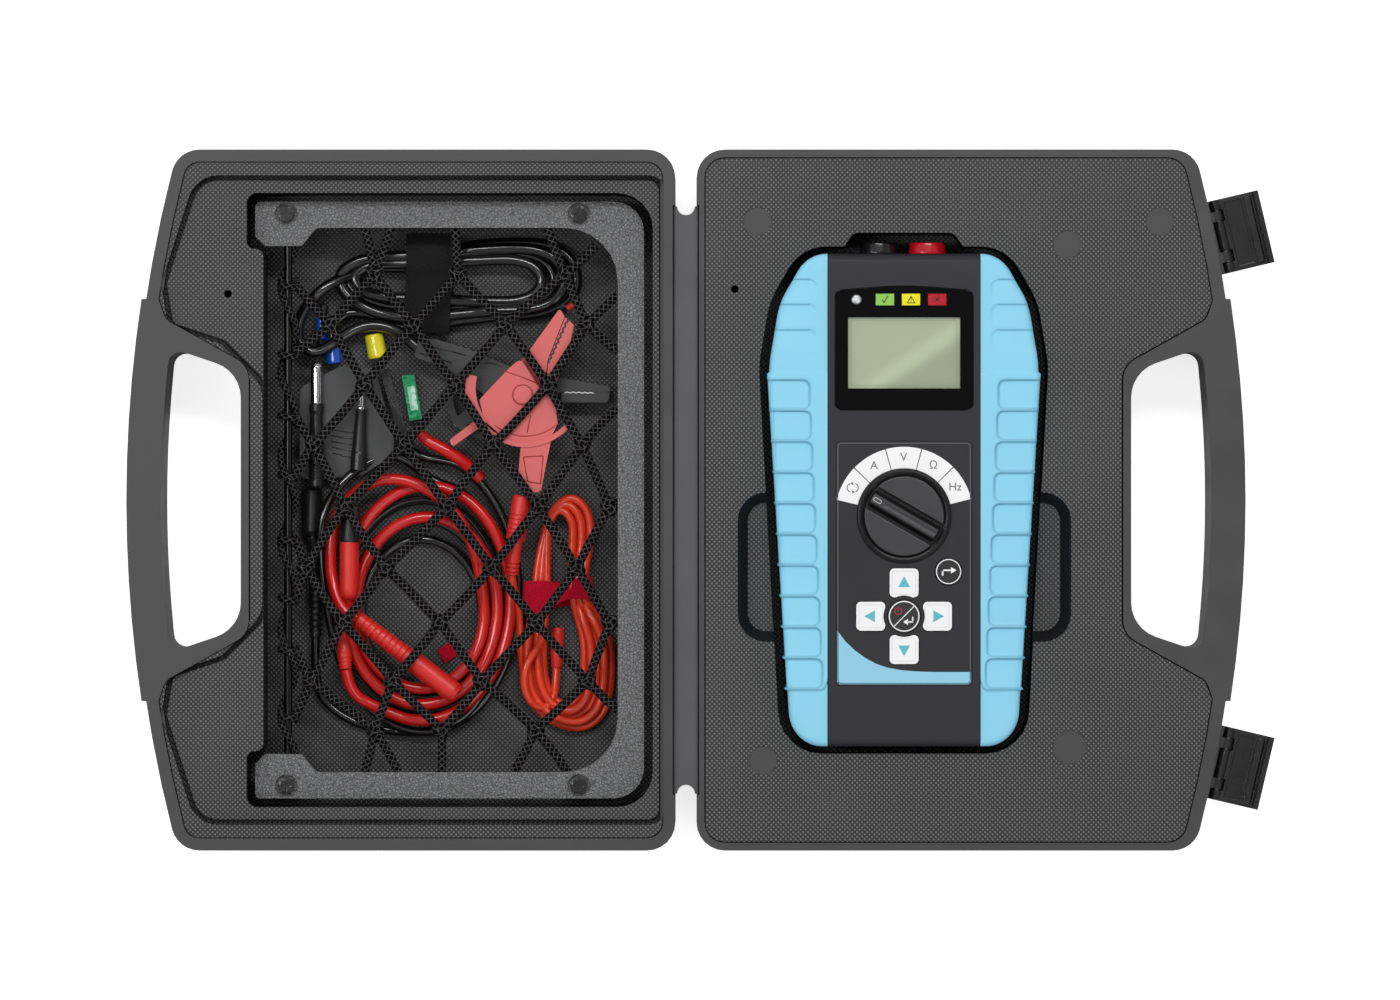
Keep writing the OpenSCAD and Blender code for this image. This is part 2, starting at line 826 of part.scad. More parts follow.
module key_shift() {
    color("#1a1a1c")
        tester_place()
            post(shift_spot[0], shift_spot[1], board_top + 1.75, key_top, 5.1);
}

module socket_body(x) {
    tester_place()
        difference() {
            union() {
                bar_y(x, socket_z, 76, 96.2, 6.1);
                bar_y(x, socket_z, 95.6, 100, 7.3, 6.9);
            }
            difference() {
                bar_y(x, socket_z, 88, 101, 5.5);
                bar_y(x, socket_z, 87, 102, 3.6);
            }
            bar_y(x, socket_z, 70, 90, 3.02);
            bar_y(x, socket_z, 89, 101, socket_bore / 2);
        }
}

module socket_black() {
    color("#1c1c1e")
        socket_body(-socket_pitch / 2);
}

module socket_red() {
    color("#c4202c")
        socket_body(socket_pitch / 2);
}

module socket_contacts() {
    color("#c8a653")
        tester_place()
            for (x = [-socket_pitch / 2, socket_pitch / 2])
                difference() {
                    bar_y(x, socket_z, 69, 90, 3);
                    bar_y(x, socket_z, 71, 91, socket_bore / 2);
                }
}

module torch_led() {
    color("#f4f6f8")
        tester_place() {
            post(led_x, indicator_y, board_top, front_z - 1.2, 2);
            translate([led_x, indicator_y, front_z - 1.3])
                sphere(r = 2);
        }
}

module indicator(i) {
    x = indicator_x[i];
    tester_place()
        box(x - 3.55, x + 3.55, indicator_y - 2.25, indicator_y + 2.25, board_top, front_z + 0.1);
}

module indicator_green() {
    color("#8cc653")
        indicator(0);
}

module indicator_yellow() {
    color("#f0dc2e")
        indicator(1);
}

module indicator_red() {
    color("#c31f3a")
        indicator(2);
}

module housing_screws() {
    color("#a8a8a6")
        tester_place()
            for (p = boss_spots)
                difference() {
                    union() {
                        post(p[0], p[1], 22.3, 24, 2.7);
                        post(p[0], p[1], 24 - tiny, split_z + 10, 1.12);
                    }
                    box(p[0] - 1.6, p[0] + 1.6, p[1] - 0.35, p[1] + 0.35, 20, 23.2);
                }
}

// ---- clips ----

red_pivot = [-69.6, 41];
black_pivot = [-72, 41.5];
rivet_r = 1.8;

function ring_part(c, r0, r1, a0, a1, n = 16) = concat(arc(c, r1, a0, a1, n), arc(c, r0, a1, a0, n));

module clip_red_arm() {
    color("#e0585a")
        difference() {
            union() {
                slab(rounded([[-70.3, 55.3, 2], [-74.8, 51.5, 1], [-86.4, 39.2, 1.5], [-84.6, 31, 2],
                    [-76.8, 24.2, 3], [-68, 21.6, 3], [-58.6, 24, 2], [-55.9, 30, 1], [-56.5, 34.1, 1],
                    [-56.5, 46, 0], [-52.1, 56.2, 0], [-59.4, 49.7, 0], [-62.8, 43.1, 0.6]]), 21.4, 25.4);
                slab(rounded([[-60, 49.6, 0], [-58.6, 47.5, 0.5], [-52.1, 56.2, 1], [-49.5, 68.2, 0.8],
                    [-52.9, 71.3, 0.4], [-59.5, 54.6, 0]]), cap_z, 25.4);
                slab(ring_part([-68.5, 43.5], 20.9, 22.9, -140, -42), 20.9 + 0.5, 26.2);
                slab(ring_part([-68.5, 43.5], 19.4, 23.4, -194, -139, 10), 21.4, 26.3);
                slab(rounded([[-69.9, 25, 0], [-71.4, 9.1, 1.5], [-66.5, 3.4, 2], [-62.6, 2.5, 2],
                    [-60.7, 12.6, 2], [-58.1, 25, 0]]), 19.5, 25.4);
            }
            post(red_pivot[0], red_pivot[1], 0, 40, rivet_r + 0.06);
        }
}

module clip_red_jaw() {
    color("#e0585a")
        difference() {
            union() {
                slab(rounded([[-60.3, 49.9, 0], [-59.8, 54.7, 0], [-53.2, 71.6, 0.4], [-55.1, 74.7, 0.8],
                    [-67, 58.3, 1.2], [-62.2, 49.6, 0.8]]), cap_z, 25.4);
                slab(rounded([[-60.4, 50, 0], [-60.4, 54, 0], [-67, 58.3, 1.2], [-74, 50, 3], [-78.5, 38.5, 3],
                    [-98.2, 23.4, 1], [-97.2, 20.6, 1], [-88.6, 26.8, 2], [-76, 33.4, 4], [-66, 34.4, 4],
                    [-61.5, 44, 3]]), cap_z, 21.2);
            }
            post(red_pivot[0], red_pivot[1], 0, 40, rivet_r + 0.06);
        }
}

module clip_black_arm() {
    color("#3d3e40")
        difference() {
            union() {
                slab(rounded([[-54.6, 42.1, 0], [-54.6, 38.2, 0.5], [-36.4, 38.1, 0.8], [-35.6, 42.1, 0]]), 5, 15.6);
                slab(rounded([[-78, 46, 3], [-96.5, 32, 1.5], [-97.5, 27.5, 1.5], [-80, 33.5, 4], [-66, 34.5, 3],
                    [-54.5, 38.2, 0], [-54.5, 42.1, 0], [-66, 46.5, 3]]), 5, 10);
                slab(ring_part([-84.2, 39.4], 12.8, 15.6, 62, 300), 5, 10);
            }
            post(black_pivot[0], black_pivot[1], 0, 40, rivet_r + 0.06);
        }
}

module clip_black_jaw() {
    color("#3d3e40")
        difference() {
            union() {
                slab(rounded([[-54.3, 42.4, 0], [-35.6, 42.4, 0], [-35, 44.2, 0.8], [-54.3, 47.7, 0.5]]), 5, 15.6);
                slab(rounded([[-54.2, 42.4, 0], [-54.2, 47.7, 0], [-68, 49.5, 3], [-90.6, 58.9, 2],
                    [-104, 63, 1.5], [-110.6, 63.2, 1], [-112, 55.8, 1], [-99.5, 51.7, 2], [-79.5, 37.5, 4],
                    [-68, 36.5, 3]]), 10.2, 15.6);
            }
            post(black_pivot[0], black_pivot[1], 0, 40, rivet_r + 0.06);
        }
}

module clip_rivets() {
    color("#d24e50") {
        post(red_pivot[0], red_pivot[1], 16.6, 25.5, rivet_r);
        post(red_pivot[0], red_pivot[1], 25.4, 26.1, 3.4);
    }
    color("#3d3e40") {
        post(black_pivot[0], black_pivot[1], 4.9, 15.7, rivet_r);
        post(black_pivot[0], black_pivot[1], 15.6, 16.2, 3);
    }
}

// ---- leads ----

coil_outer = ellipse([-108.4, -36.7], 38, 53);
coil_inner = ellipse([-108.6, -44], 21.5, 26);

module coil(z0, z1) {
    difference() {
        slab(coil_outer, z0, z1);
        slab(coil_inner, z0 - 1, z1 + 1);
    }
}

module coil_black() {
    color("#1f1f21")
        coil(5, 10.8);
}

module coil_red() {
    color("#d8322c")
        coil(11, 16.8);
}

hank_black_corners = rect(-147, -45, 66, 103, 18);
hank_red_corners = [[-70.6, -84, 10], [-58, -90.6, 8], [-35, -90.6, 9], [-33.8, -58, 14], [-43.9, -45, 3],
    [-43.9, -31, 3], [-41.3, -14, 10], [-43, 3.2, 9], [-60, 3.2, 9], [-61.5, -26, 5], [-67.9, -33, 3],
    [-67.9, -45, 3], [-71, -62, 10]];

module hank_black() {
    color("#1f1f21")
        slab(rounded(hank_black_corners), 6.2, 17);
}

module strap_black() {
    color("#161617")
        difference() {
            slab(rounded(rect(-116, -97, 64.6, 104.4, 0.5)), 4.9, 18.2);
            box(-120, -90, 65.9, 103.1, 6.1, 17.1);
        }
}

module hank_red() {
    color("#e8502e")
        slab(rounded(hank_red_corners), 6.2, 14.5);
}

module strap_red() {
    color("#c2182c") {
        difference() {
            box(-69.3, -42.5, -45.8, -31.6, 4.9, 15.8);
            slab(rounded(grown(hank_red_corners, 0.1)), 6.1, 14.6);
        }
        slab(rounded([[-103.4, -59, 0.8], [-100.5, -64, 0.8], [-95.6, -60.8, 0.8], [-99.6, -55, 0.8]]), 5, 7.5);
    }
}

// A round bar from p to q, from radius r to radius s
module spoke(p, q, r, s) {
    d = q - p;
    translate(p)
        rotate([0, acos(d[2] / norm(d)), atan2(d[1], d[0])])
            cylinder(h = norm(d), r1 = r, r2 = s);
}

module plugs_red() {
    color("#dc3a36") {
        bar_y(-137.3, 20.8, -42, -16.3, 3.8);
        spoke([-134.3, -46, 21.1], [-113.8, -61.8, 21.1], 3.6, 4);
        spoke([-113.8, -61.8, 21.1], [-95.5, -75.9, 21.1], 4.2, 4.2);
        spoke([-69.4, 1.6, 21.2], [-72.5, -15.6, 21.2], 3.9, 3.7);
        spoke([-72.5, -15.6, 20.6], [-74, -29, 19.4], 3, 2.2);
        spoke([-139.8, -53.6, 19.7], [-138.6, -66, 19.2], 2.7, 2.2);
    }
}

module plugs_black() {
    color("#202022") {
        bar_y(-136.6, 21, -16.2, -1.8, 4.1);
        bar_y(-152.4, 9.6, -14, 4.6, 4.2);
        bar_y(-151, 9, -53.5, -18, 2.6);
    }
}

module probe_bodies() {
    color("#28292b") {
        spoke([-150.3, 5.4, 17.3], [-150.3, 37.5, 17.3], 2.9, 2.5);
        spoke([-133.9, 11.7, 17.3], [-132.9, 35.4, 17.3], 3, 2.5);
    }
}

module probe_tips() {
    color("#c9cbcc") {
        spoke([-150.3, 37.5, 17.3], [-150.3, 52.2, 17.3], 2.35, 2.35);
        translate([-150.3, 52.2, 17.3])
            sphere(r = 2.35);
        spoke([-132.9, 35.4, 17.3], [-132.7, 40, 17.3], 1.9, 0.9);
    }
}

module adaptor_block() {
    color("#4f5052")
        slab(rounded([[-157, 8, 3], [-133, 9.5, 4], [-120.4, 17.5, 3], [-120.2, 24, 6], [-127.4, 51, 4],
            [-141, 52.3, 5], [-157, 44, 5]]), 5, 14.2);
}

module fuse_holder() {
    color("#2a2b2d")
        slab(rounded([[-118.5, 25.2, 1], [-114.9, 26.1, 1], [-122.3, 51.6, 1], [-125.8, 51, 1]]), 5, 12);
}

module fuse_green() {
    color("#2fae6e")
        slab(rounded([[-114.1, 30.9, 0.6], [-109.3, 31.8, 0.6], [-112.4, 49.3, 0.6], [-117.2, 48.6, 0.6]]), 5, 9.8);
}

module sleeves_blue() {
    color("#1e4fb0") {
        spoke([-149, 62.8, 8.4], [-148.4, 72.8, 8.4], 2.2, 2.1);
        spoke([-143.6, 53.4, 8.4], [-144.4, 63.4, 8.4], 3.1, 2.9);
    }
}

module sleeve_yellow() {
    color("#efd531")
        spoke([-126.6, 55.6, 9.2], [-128.2, 64.9, 9.2], 3.7, 3.7);
}

base_shell();
base_tray();
lid_shell();
lid_tray();
hinge_strip();
latch_top();
latch_bottom();
latch_pins();
net_frame();
net_rod();
frame_screws();
elastic_net();
housing_front();
housing_rear();
boot_left();
boot_right();
battery_door();
batteries();
battery_contacts();
circuit_board();
lcd_module();
display_window();
overlay_panel();
selector_knob();
rotary_switch();
keypad_mat();
key_up();
key_down();
key_left();
key_right();
key_enter();
key_shift();
socket_black();
socket_red();
socket_contacts();
torch_led();
indicator_green();
indicator_yellow();
indicator_red();
housing_screws();
clip_red_arm();
clip_red_jaw();
clip_black_arm();
clip_black_jaw();
clip_rivets();
coil_black();
coil_red();
hank_black();
hank_red();
strap_black();
strap_red();
plugs_red();
plugs_black();
probe_bodies();
probe_tips();
adaptor_block();
sleeves_blue();
sleeve_yellow();
fuse_green();
fuse_holder();
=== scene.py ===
import json
import math
import random

import bpy
import numpy as np
from mathutils import Matrix, Vector


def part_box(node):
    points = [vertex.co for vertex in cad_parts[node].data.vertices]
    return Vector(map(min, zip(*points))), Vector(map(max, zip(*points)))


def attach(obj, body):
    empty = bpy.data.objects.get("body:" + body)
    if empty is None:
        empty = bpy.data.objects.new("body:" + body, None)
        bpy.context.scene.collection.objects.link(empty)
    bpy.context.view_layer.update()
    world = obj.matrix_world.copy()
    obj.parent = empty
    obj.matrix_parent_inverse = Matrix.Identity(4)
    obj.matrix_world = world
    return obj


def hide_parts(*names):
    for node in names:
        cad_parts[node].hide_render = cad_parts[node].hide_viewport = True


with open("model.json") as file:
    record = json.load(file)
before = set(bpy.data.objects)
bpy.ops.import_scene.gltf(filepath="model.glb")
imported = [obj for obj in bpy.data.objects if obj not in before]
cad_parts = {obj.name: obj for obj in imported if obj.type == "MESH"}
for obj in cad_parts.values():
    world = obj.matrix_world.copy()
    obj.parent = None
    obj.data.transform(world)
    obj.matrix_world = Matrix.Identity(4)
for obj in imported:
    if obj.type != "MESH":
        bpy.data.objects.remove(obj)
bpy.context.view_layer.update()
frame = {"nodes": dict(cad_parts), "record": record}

nodes = frame["nodes"]
rng = random.Random(7)

# Sizes are in millimetres, in the frame's axes, and turned into metres where a mesh is made.
MM = 0.001
X, Y, Z = range(3)


def box_mm(node):
    low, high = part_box(node)
    return low / MM, high / MM


def top_of(node):
    return box_mm(node)[1].z


def middle_of(node, axis):
    low, high = box_mm(node)
    return (low[axis] + high[axis]) / 2


TESTER_X = middle_of("overlay_panel", X)
FRONT_Z = top_of("overlay_panel")
BACK_Z = box_mm("housing_rear")[0].z
KEY_TOP = top_of("key_enter")
KNOB_X, KNOB_Y = middle_of("selector_knob", X), middle_of("selector_knob", Y)
KEYS_Y = middle_of("key_enter", Y)
ROD_X, NET_Z = middle_of("net_rod", X), middle_of("net_rod", Z)

# ---- materials ----


class Value:
    """A shader node's output, which formulas can use as a number."""

    def __init__(self, socket):
        self.socket = socket

    def __add__(self, other):
        return maths("ADD", self, other)

    def __sub__(self, other):
        return maths("SUBTRACT", self, other)

    def __rsub__(self, other):
        return maths("SUBTRACT", other, self)

    def __mul__(self, other):
        return maths("MULTIPLY", self, other)

    def __pow__(self, other):
        return maths("POWER", self, other)

    def __lt__(self, other):
        return maths("LESS_THAN", self, other)

    def __gt__(self, other):
        return maths("GREATER_THAN", self, other)

    def __abs__(self):
        return maths("ABSOLUTE", self)


def put(socket, value):
    """Sets a socket to a number or a colour, or joins it to a value."""
    if isinstance(value, Value):
        socket.id_data.links.new(value.socket, socket)
    else:
        socket.default_value = value


def add(tree, kind, sockets=None, out=0, **props):
    """A new shader node's output, with the node's properties and sockets set."""
    made = tree.nodes.new("ShaderNode" + kind)
    for key, value in props.items():
        setattr(made, key, value)
    for key, value in (sockets or {}).items():
        put(made.inputs[key], value)
    return Value(made.outputs[out])


def maths(what, *values, clamp=False):
    tree = next(v.socket.id_data for v in values if isinstance(v, Value))
    return add(tree, "Math", dict(enumerate(values)), operation=what, use_clamp=clamp)


def sine(value):
    return maths("SINE", value)


def larger(a, b):
    return maths("MAXIMUM", a, b)


def blend(factor, a, b):
    """Colour a where factor is 0, and b where it is 1."""
    return add(factor.socket.id_data, "Mix", {0: factor, 6: a, 7: b}, out=2, data_type="RGBA")


def remap(value, low, high, start=0.3, stop=0.7, **props):
    """Runs from low to high while value runs from start to stop."""
    ends = {0: value, 1: start, 2: stop, 3: low, 4: high}
    return add(value.socket.id_data, "MapRange", ends, **props)


def axes(tree, kind="Object"):
    """X, Y and Z of a place on the mesh."""
    parts = add(tree, "SeparateXYZ", {0: add(tree, "TexCoord", out=kind)}).socket.node.outputs
    return [Value(socket) for socket in parts]


def shade(colour, by=1.0):
    return [min(1.0, c * by) for c in colour[:3]] + [1.0]


class Look:
    """A material whose colour, gloss and bumps are set by formulas."""

    def __init__(self, name, colour, rough, metal=0.0, coat=0.0, specular=0.5):
        self.material = bpy.data.materials.new(name)
        self.material.use_nodes = True
        self.tree = self.material.node_tree
        self.surface = self.tree.nodes["Principled BSDF"].inputs
        settings = {"Base Color": shade(colour), "Roughness": rough, "Metallic": metal, "Coat Weight": coat,
                    "Coat Roughness": 0.12, "Specular IOR Level": specular}
        for socket, value in settings.items():
            put(self.surface[socket], value)

    def pattern(self, kind, size, more=(), out=0, **props):
        """A texture whose blobs or cells are about size millimetres across."""
        place = add(self.tree, "TexCoord", out="Object")
        return add(self.tree, kind, {"Vector": place, "Scale": 1 / (size * MM), **dict(more)}, out, **props)

    def noise(self, size, detail=2.0):
        return self.pattern("TexNoise", size, {"Detail": detail})

    def paint(self, colour):
        put(self.surface["Base Color"], colour)

    def paint_over(self, factor, colour):
        """Changes to the colour where factor is 1."""
        base = self.surface["Base Color"]
        self.paint(blend(factor, Value(base.links[0].from_socket), colour))

    def gloss(self, factor, low, high):
        put(self.surface["Roughness"], remap(factor, low, high))

    def bump(self, height, depth):
        """Bump of depth millimetres."""
        sockets = {"Height": height, "Distance": depth * MM, "Strength": 1.0}
        put(self.surface["Normal"], add(self.tree, "Bump", sockets))


def plastic(name, colour, rough, grain=0.5, depth=0.03, tone=0.08, coat=0.0, specular=0.5, metal=0.0):
    """Moulded plastic or rubber with a fine grain, and a slow change of tone and gloss over it."""
    look = Look(name, colour, rough, metal, coat, specular)
    slow, fine = look.noise(22, 3), look.noise(grain)
    look.paint(blend(slow, shade(colour, 1 - tone), shade(colour, 1 + tone)))
    look.gloss(slow * 0.6 + fine * 0.4, rough * 0.82, min(1, rough * 1.2))
    look.bump(fine, depth)
    return look


def knurled(name, colour, rough):
    """Rows of fine diamonds, as a textured mould leaves them, with smooth round pads, with painted highlight
    on their crests and painted shade in their hollows. Steep faces and the lid's groove are painted dark as
    shade."""
    look = Look(name, colour, rough, specular=0.4)
    x, y, z = axes(look.tree)
    wave = math.sqrt(2) * math.pi / (DIAMOND * MM)
    height = (sine((x + y) * wave) + 1.0) * (sine((x - y) * wave) + 1.0) * 0.25
    smooth = remap(look.noise(30, 3), 0.0, 0.3)
    for pad_x, pad_y, radius in PADS:
        off_x, off_y = x - pad_x * MM, y - pad_y * MM
        smooth = larger(smooth, off_x * off_x + off_y * off_y < (radius * MM) ** 2)
    # Painted highlight and shade: the diamonds' crests are painted lighter and their hollows darker. Smooth
    # patches and pads stay plain.
    wear_and_relief_shade = blend(smooth, blend(height, shade(colour, 0.12), shade(colour, 4.0)), shade(colour, 1.1))
    # Painted shade: steep faces and the lid's groove are painted nearly black.
    steep_shade = remap(axes(look.tree, "Normal")[Z], 0.0, 1.0, 0.9, 0.6)
    groove = (x < 0) * ((z > GROOVE_Z[0] * MM) * (z < GROOVE_Z[1] * MM))
    look.paint(blend(larger(steep_shade, groove), wear_and_relief_shade, shade(colour, 0.1)))
    look.gloss(look.noise(0.8), rough * 0.85, rough * 1.1)
    look.bump(height * (1.0 - smooth), 0.2)
    return look


def cased(name, colour, rough):
    """Satin case plastic, with painted shadow on the ears that hold the latches."""
    look = plastic(name, colour, rough, grain=0.35, depth=0.02, tone=0.14)
    x, y, _ = axes(look.tree)
    out = x * math.cos(LATCH_LEAN) + abs(y) * math.sin(LATCH_LEAN)
    # Painted shadow: the case goes nearly black on the latch ears, just outside the case's side.
    look.paint_over((out > EAR_SHADOW_FROM * MM) * (abs(y) > EAR_SHADOW_IN * MM), shade(colour, 0.15))
    return look


def leathery(name, colour, rough):
    """A coarse leather grain: cells with painted shade in the creases between them."""
    look = Look(name, colour, rough)
    edge = maths("MULTIPLY", look.pattern("TexVoronoi", 1.1, feature="DISTANCE_TO_EDGE"), 3.0, clamp=True)
    fine = look.noise(1.3)
    both = (edge + 0.6) * fine
    look.paint(blend(remap(both, 0.0, 1.0), shade(colour, 0.5), shade(colour, 1.7)))
    look.gloss(fine, rough * 0.8, rough * 1.15)
    look.bump(both, 0.3)
    return look


def braided(name, colour):
    """Crossing yarns round a cord. The map's U runs once round, and V is the length in millimetres."""
    look = Look(name, colour, 0.7, specular=0.08)
    around, along, _ = axes(look.tree, "UV")
    turn, run = around * (2 * math.pi * YARNS), along * (2 * math.pi * YARNS_PER_MM)
    height = (larger(sine(run + turn), sine(run - turn)) + 1.0) * 0.5
    # Painted highlight: the yarns' crests get small light grey flecks on the near-black cord.
    look.paint(blend(height ** 16 * look.noise(1.5), shade(colour, 0.5), shade(colour, 75)))
    look.bump(height, 0.4)
    return look


def creased(name, colour, deep, rough):
    """Moulded rubber with painted shade in the creases that the mesh marks."""
    look = plastic(name, colour, rough, grain=0.4, depth=0.012, tone=0.03, specular=0.35)
    look.paint_over(add(look.tree, "Attribute", out="Fac", attribute_name="crease"), shade(deep))
    return look


def woven(name, colour, pitch=0.7):
    """Hook-and-loop tape: a fuzzy pile over a fine weave."""
    look = Look(name, colour, 0.9, specular=0.12)
    put(look.surface["Sheen Weight"], 0.05)
    x, y, _ = axes(look.tree)
    wave = 2 * math.pi / (pitch * MM)
    fuzz = look.noise(0.5, 4)
    look.paint(blend(fuzz, shade(colour, 0.3), shade(colour, 1.8)))
    look.bump(sine(x * wave) * sine(y * wave) * 0.25 + fuzz, 0.3)
    return look


def brushed(name, colour, rough):
    """Bare or plated metal with faint marks from turning and handling."""
    look = Look(name, colour, rough, metal=1.0)
    marks = look.noise(0.6, 4)
    look.paint(blend(look.noise(9), shade(colour, 0.85), shade(colour, 1.05)))
    look.gloss(marks, rough * 0.7, rough * 1.3)
    look.bump(marks, 0.01)
    return look


def facets(name, colour, low):
    """Clear moulded plastic with painted glints: bright and dark cells inside it stand for light on its cut
    faces.
    """
    look = Look(name, colour, 0.08, coat=0.6)
    grey = add(look.tree, "SeparateColor", {0: look.pattern("TexVoronoi", 1.4, out="Color")})
    look.paint(blend(grey, shade(low), shade(colour)))
    look.bump(grey, 0.15)
    return look


def display(name, colour, x, y):
    """A reflective display with a painted reflection: a soft light band that leans across its middle at x, y,
    and a faint grain.
    """
    look = Look(name, colour, 0.22, coat=0.3)
    here_x, here_y, _ = axes(look.tree)
    lean = (here_x - (x + 3) * MM) * (-0.55 / MM) + (here_y - (y - 2.5) * MM) * (0.83 / MM)
    below = remap(lean, 0.0, 1.0, -6.5, 0.0, interpolation_type="SMOOTHSTEP")
    above = remap(lean, 0.0, 1.0, 0.0, 5.5, interpolation_type="SMOOTHSTEP")
    painted_glare = blend(above, blend(below, shade(colour, 0.84), shade(colour, 1.22)), shade(colour))
    fine = look.noise(0.4, 1)
    look.paint(blend(fine * 0.1, painted_glare, shade(colour, 0.7)))
    look.bump(fine, 0.01)
    return look


SKY = (0.27, 0.665, 0.875)
LATCH_X, LATCH_Y, LATCH_LEAN = 202.65, 102.45, math.radians(13.3)
# Where the painted shadow on the latch ears begins: just outside the case's side, and this far out in y.
EAR_SHADOW_FROM = LATCH_X * math.cos(LATCH_LEAN) + LATCH_Y * math.sin(LATCH_LEAN) - 1.6
EAR_SHADOW_IN = 84
DIAMOND = 1.35
# Heights of the lid's groove, which the tray's look paints dark as shade.
GROOVE_Z = (39.8, 41.6)
PADS = [(142, 99, 5.5), (143, -96, 6.6), (22, 108, 5.5), (178, 108, 5.5), (24, -101, 5.5)]
YARNS, YARNS_PER_MM = 4, 0.42

looks = {
    "case_shell": cased("case_shell", (0.048, 0.048, 0.05), 0.42),
    "case_tray": knurled("case_tray", (0.052, 0.052, 0.052), 0.5),
    "frame_plastic": leathery("frame_plastic", (0.128, 0.129, 0.133), 0.4),
    "pin_steel": brushed("pin_steel", (0.5, 0.5, 0.5), 0.3),
    "probe_metal": brushed("probe_metal", (0.8, 0.8, 0.8), 0.15),
    "net_elastic": braided("net_elastic", (0.0024, 0.0022, 0.0023)),
    # The boot's darker blue is painted shade in its creases.
    "boot_rubber": creased("boot_rubber", SKY, (0.11, 0.36, 0.52), 0.5),
    "lcd": display("lcd", (0.42, 0.475, 0.33), middle_of("lcd_module", X), middle_of("lcd_module", Y)),
    "led_clear": facets("led_clear", (0.95, 0.96, 0.97), (0.3, 0.31, 0.32)),
    "fuse_green": facets("fuse_green", (0.03, 0.5, 0.22), (0.0, 0.2, 0.07)),
    "fuse_core": facets("fuse_core", (0.75, 0.95, 0.85), (0.2, 0.62, 0.38)),
    "strap_black": woven("strap_black", (0.014, 0.014, 0.0145), 1.6),
    "strap_red": woven("strap_red", (0.52, 0.004, 0.025)),
}

# Plain plastics: colour, roughness, size and depth of the grain, change of tone, coat and specular
for name, row in {
    "hinge_plastic": [(0.085, 0.085, 0.09), 0.4, 0.5, 0.03, 0.1],
    "latch_plastic": [(0.009, 0.009, 0.01), 0.3, 0.6, 0.03, 0.15],
    "rod_steel": [(0.003, 0.003, 0.0035), 0.2, 3, 0.002, 0.2, 0, 0.3],
    "screw_zinc": [(0.005, 0.005, 0.006), 0.3, 4, 0.003, 0.1, 0.3],
    "housing_plastic": [(0.027, 0.026, 0.032), 0.5, 0.3, 0.015, 0.06, 0, 0.25],
    "window_gloss": [(0.002, 0.002, 0.0025), 0.1, 3, 0.003, 0.2, 0, 0.22],
    "overlay_film": [(0.027, 0.027, 0.03), 0.45, 0.25, 0.012, 0.06, 0, 0.25],
    "knob_plastic": [(0.004, 0.004, 0.0045), 0.32, 0.5, 0.01, 0.12, 0, 0.3],
    "knob_face": [(0.04, 0.04, 0.043), 0.36, 0.35, 0.012, 0.1],
    "key_white": [(0.92, 0.92, 0.92), 0.4, 0.8, 0.01, 0.02],
    "key_black": [(0.022, 0.022, 0.024), 0.35, 0.5, 0.01, 0.1],
    "socket_black": [(0.01, 0.01, 0.011), 0.22, 0.8, 0.01, 0.15],
    "socket_red": [(0.6, 0.006, 0.015), 0.2, 0.8, 0.01, 0.1],
    "lens_green": [(0.29, 0.6, 0.1), 0.25, 1, 0.01, 0.1],
    "lens_yellow": [(0.88, 0.8, 0.01), 0.25, 1, 0.01, 0.06],
    "lens_red": [(0.5, 0.006, 0.02), 0.25, 1, 0.01, 0.1],
    "clip_red": [(0.69, 0.13, 0.125), 0.42, 0.4, 0.015, 0.06],
    "clip_crease": [(0.4, 0.03, 0.028), 0.5, 0.4, 0.015, 0.08],
    "clip_black": [(0.042, 0.043, 0.045), 0.34, 0.4, 0.03, 0.1],
    "lead_black": [(0.004, 0.004, 0.0045), 0.24, 14, 0.0015, 0.2, 0.9],
    "lead_red": [(0.64, 0.009, 0.006), 0.24, 14, 0.0015, 0.1, 0.4],
    "lead_orange": [(0.8, 0.045, 0.012), 0.28, 14, 0.0015, 0.1, 0.3],
    "plug_red": [(0.7, 0.022, 0.015), 0.36, 0.5, 0.012, 0.07],
    "plug_black": [(0.01, 0.01, 0.011), 0.34, 0.5, 0.02, 0.15],
    "probe_black": [(0.014, 0.014, 0.015), 0.3, 0.6, 0.015, 0.15],
    "adaptor_grey": [(0.05, 0.051, 0.054), 0.38, 0.4, 0.02, 0.1],
    "sleeve_blue": [(0.008, 0.11, 0.68), 0.25, 0.8, 0.01, 0.1, 0.8],
    "sleeve_yellow": [(0.93, 0.8, 0.02), 0.26, 0.8, 0.01, 0.05, 0.8],
}.items():
    looks[name] = plastic(name, *row)

# Print: colour, roughness and change of tone
for name, (colour, rough, tone) in {
    "white": [(0.93, 0.93, 0.93), 0.45, 0.02], "black": [(0.02, 0.02, 0.021), 0.45, 0.1],
    "blue": [(0.28, 0.61, 0.79), 0.45, 0.04], "teal": [(0.1, 0.5, 0.6), 0.45, 0.04],
    "grey": [(0.12, 0.12, 0.13), 0.4, 0.06], "faint": [(0.74, 0.74, 0.74), 0.45, 0.02],
    "cross": [(0.12, 0.004, 0.01), 0.45, 0.06], "lcd": [(0.3, 0.34, 0.2), 0.3, 0.04],
    "red": [(0.42, 0.02, 0.03), 0.45, 0.06],
}.items():
    looks["print_" + name] = plastic("print_" + name, colour, rough, 0.5, 0.004, tone)

# ---- meshes ----


def in_scene(name, data):
    made = bpy.data.objects.new(name, data)
    bpy.context.scene.collection.objects.link(made)
    return made


def wear(made, look):
    made.data.materials.clear()
    made.data.materials.append(looks[look].material)


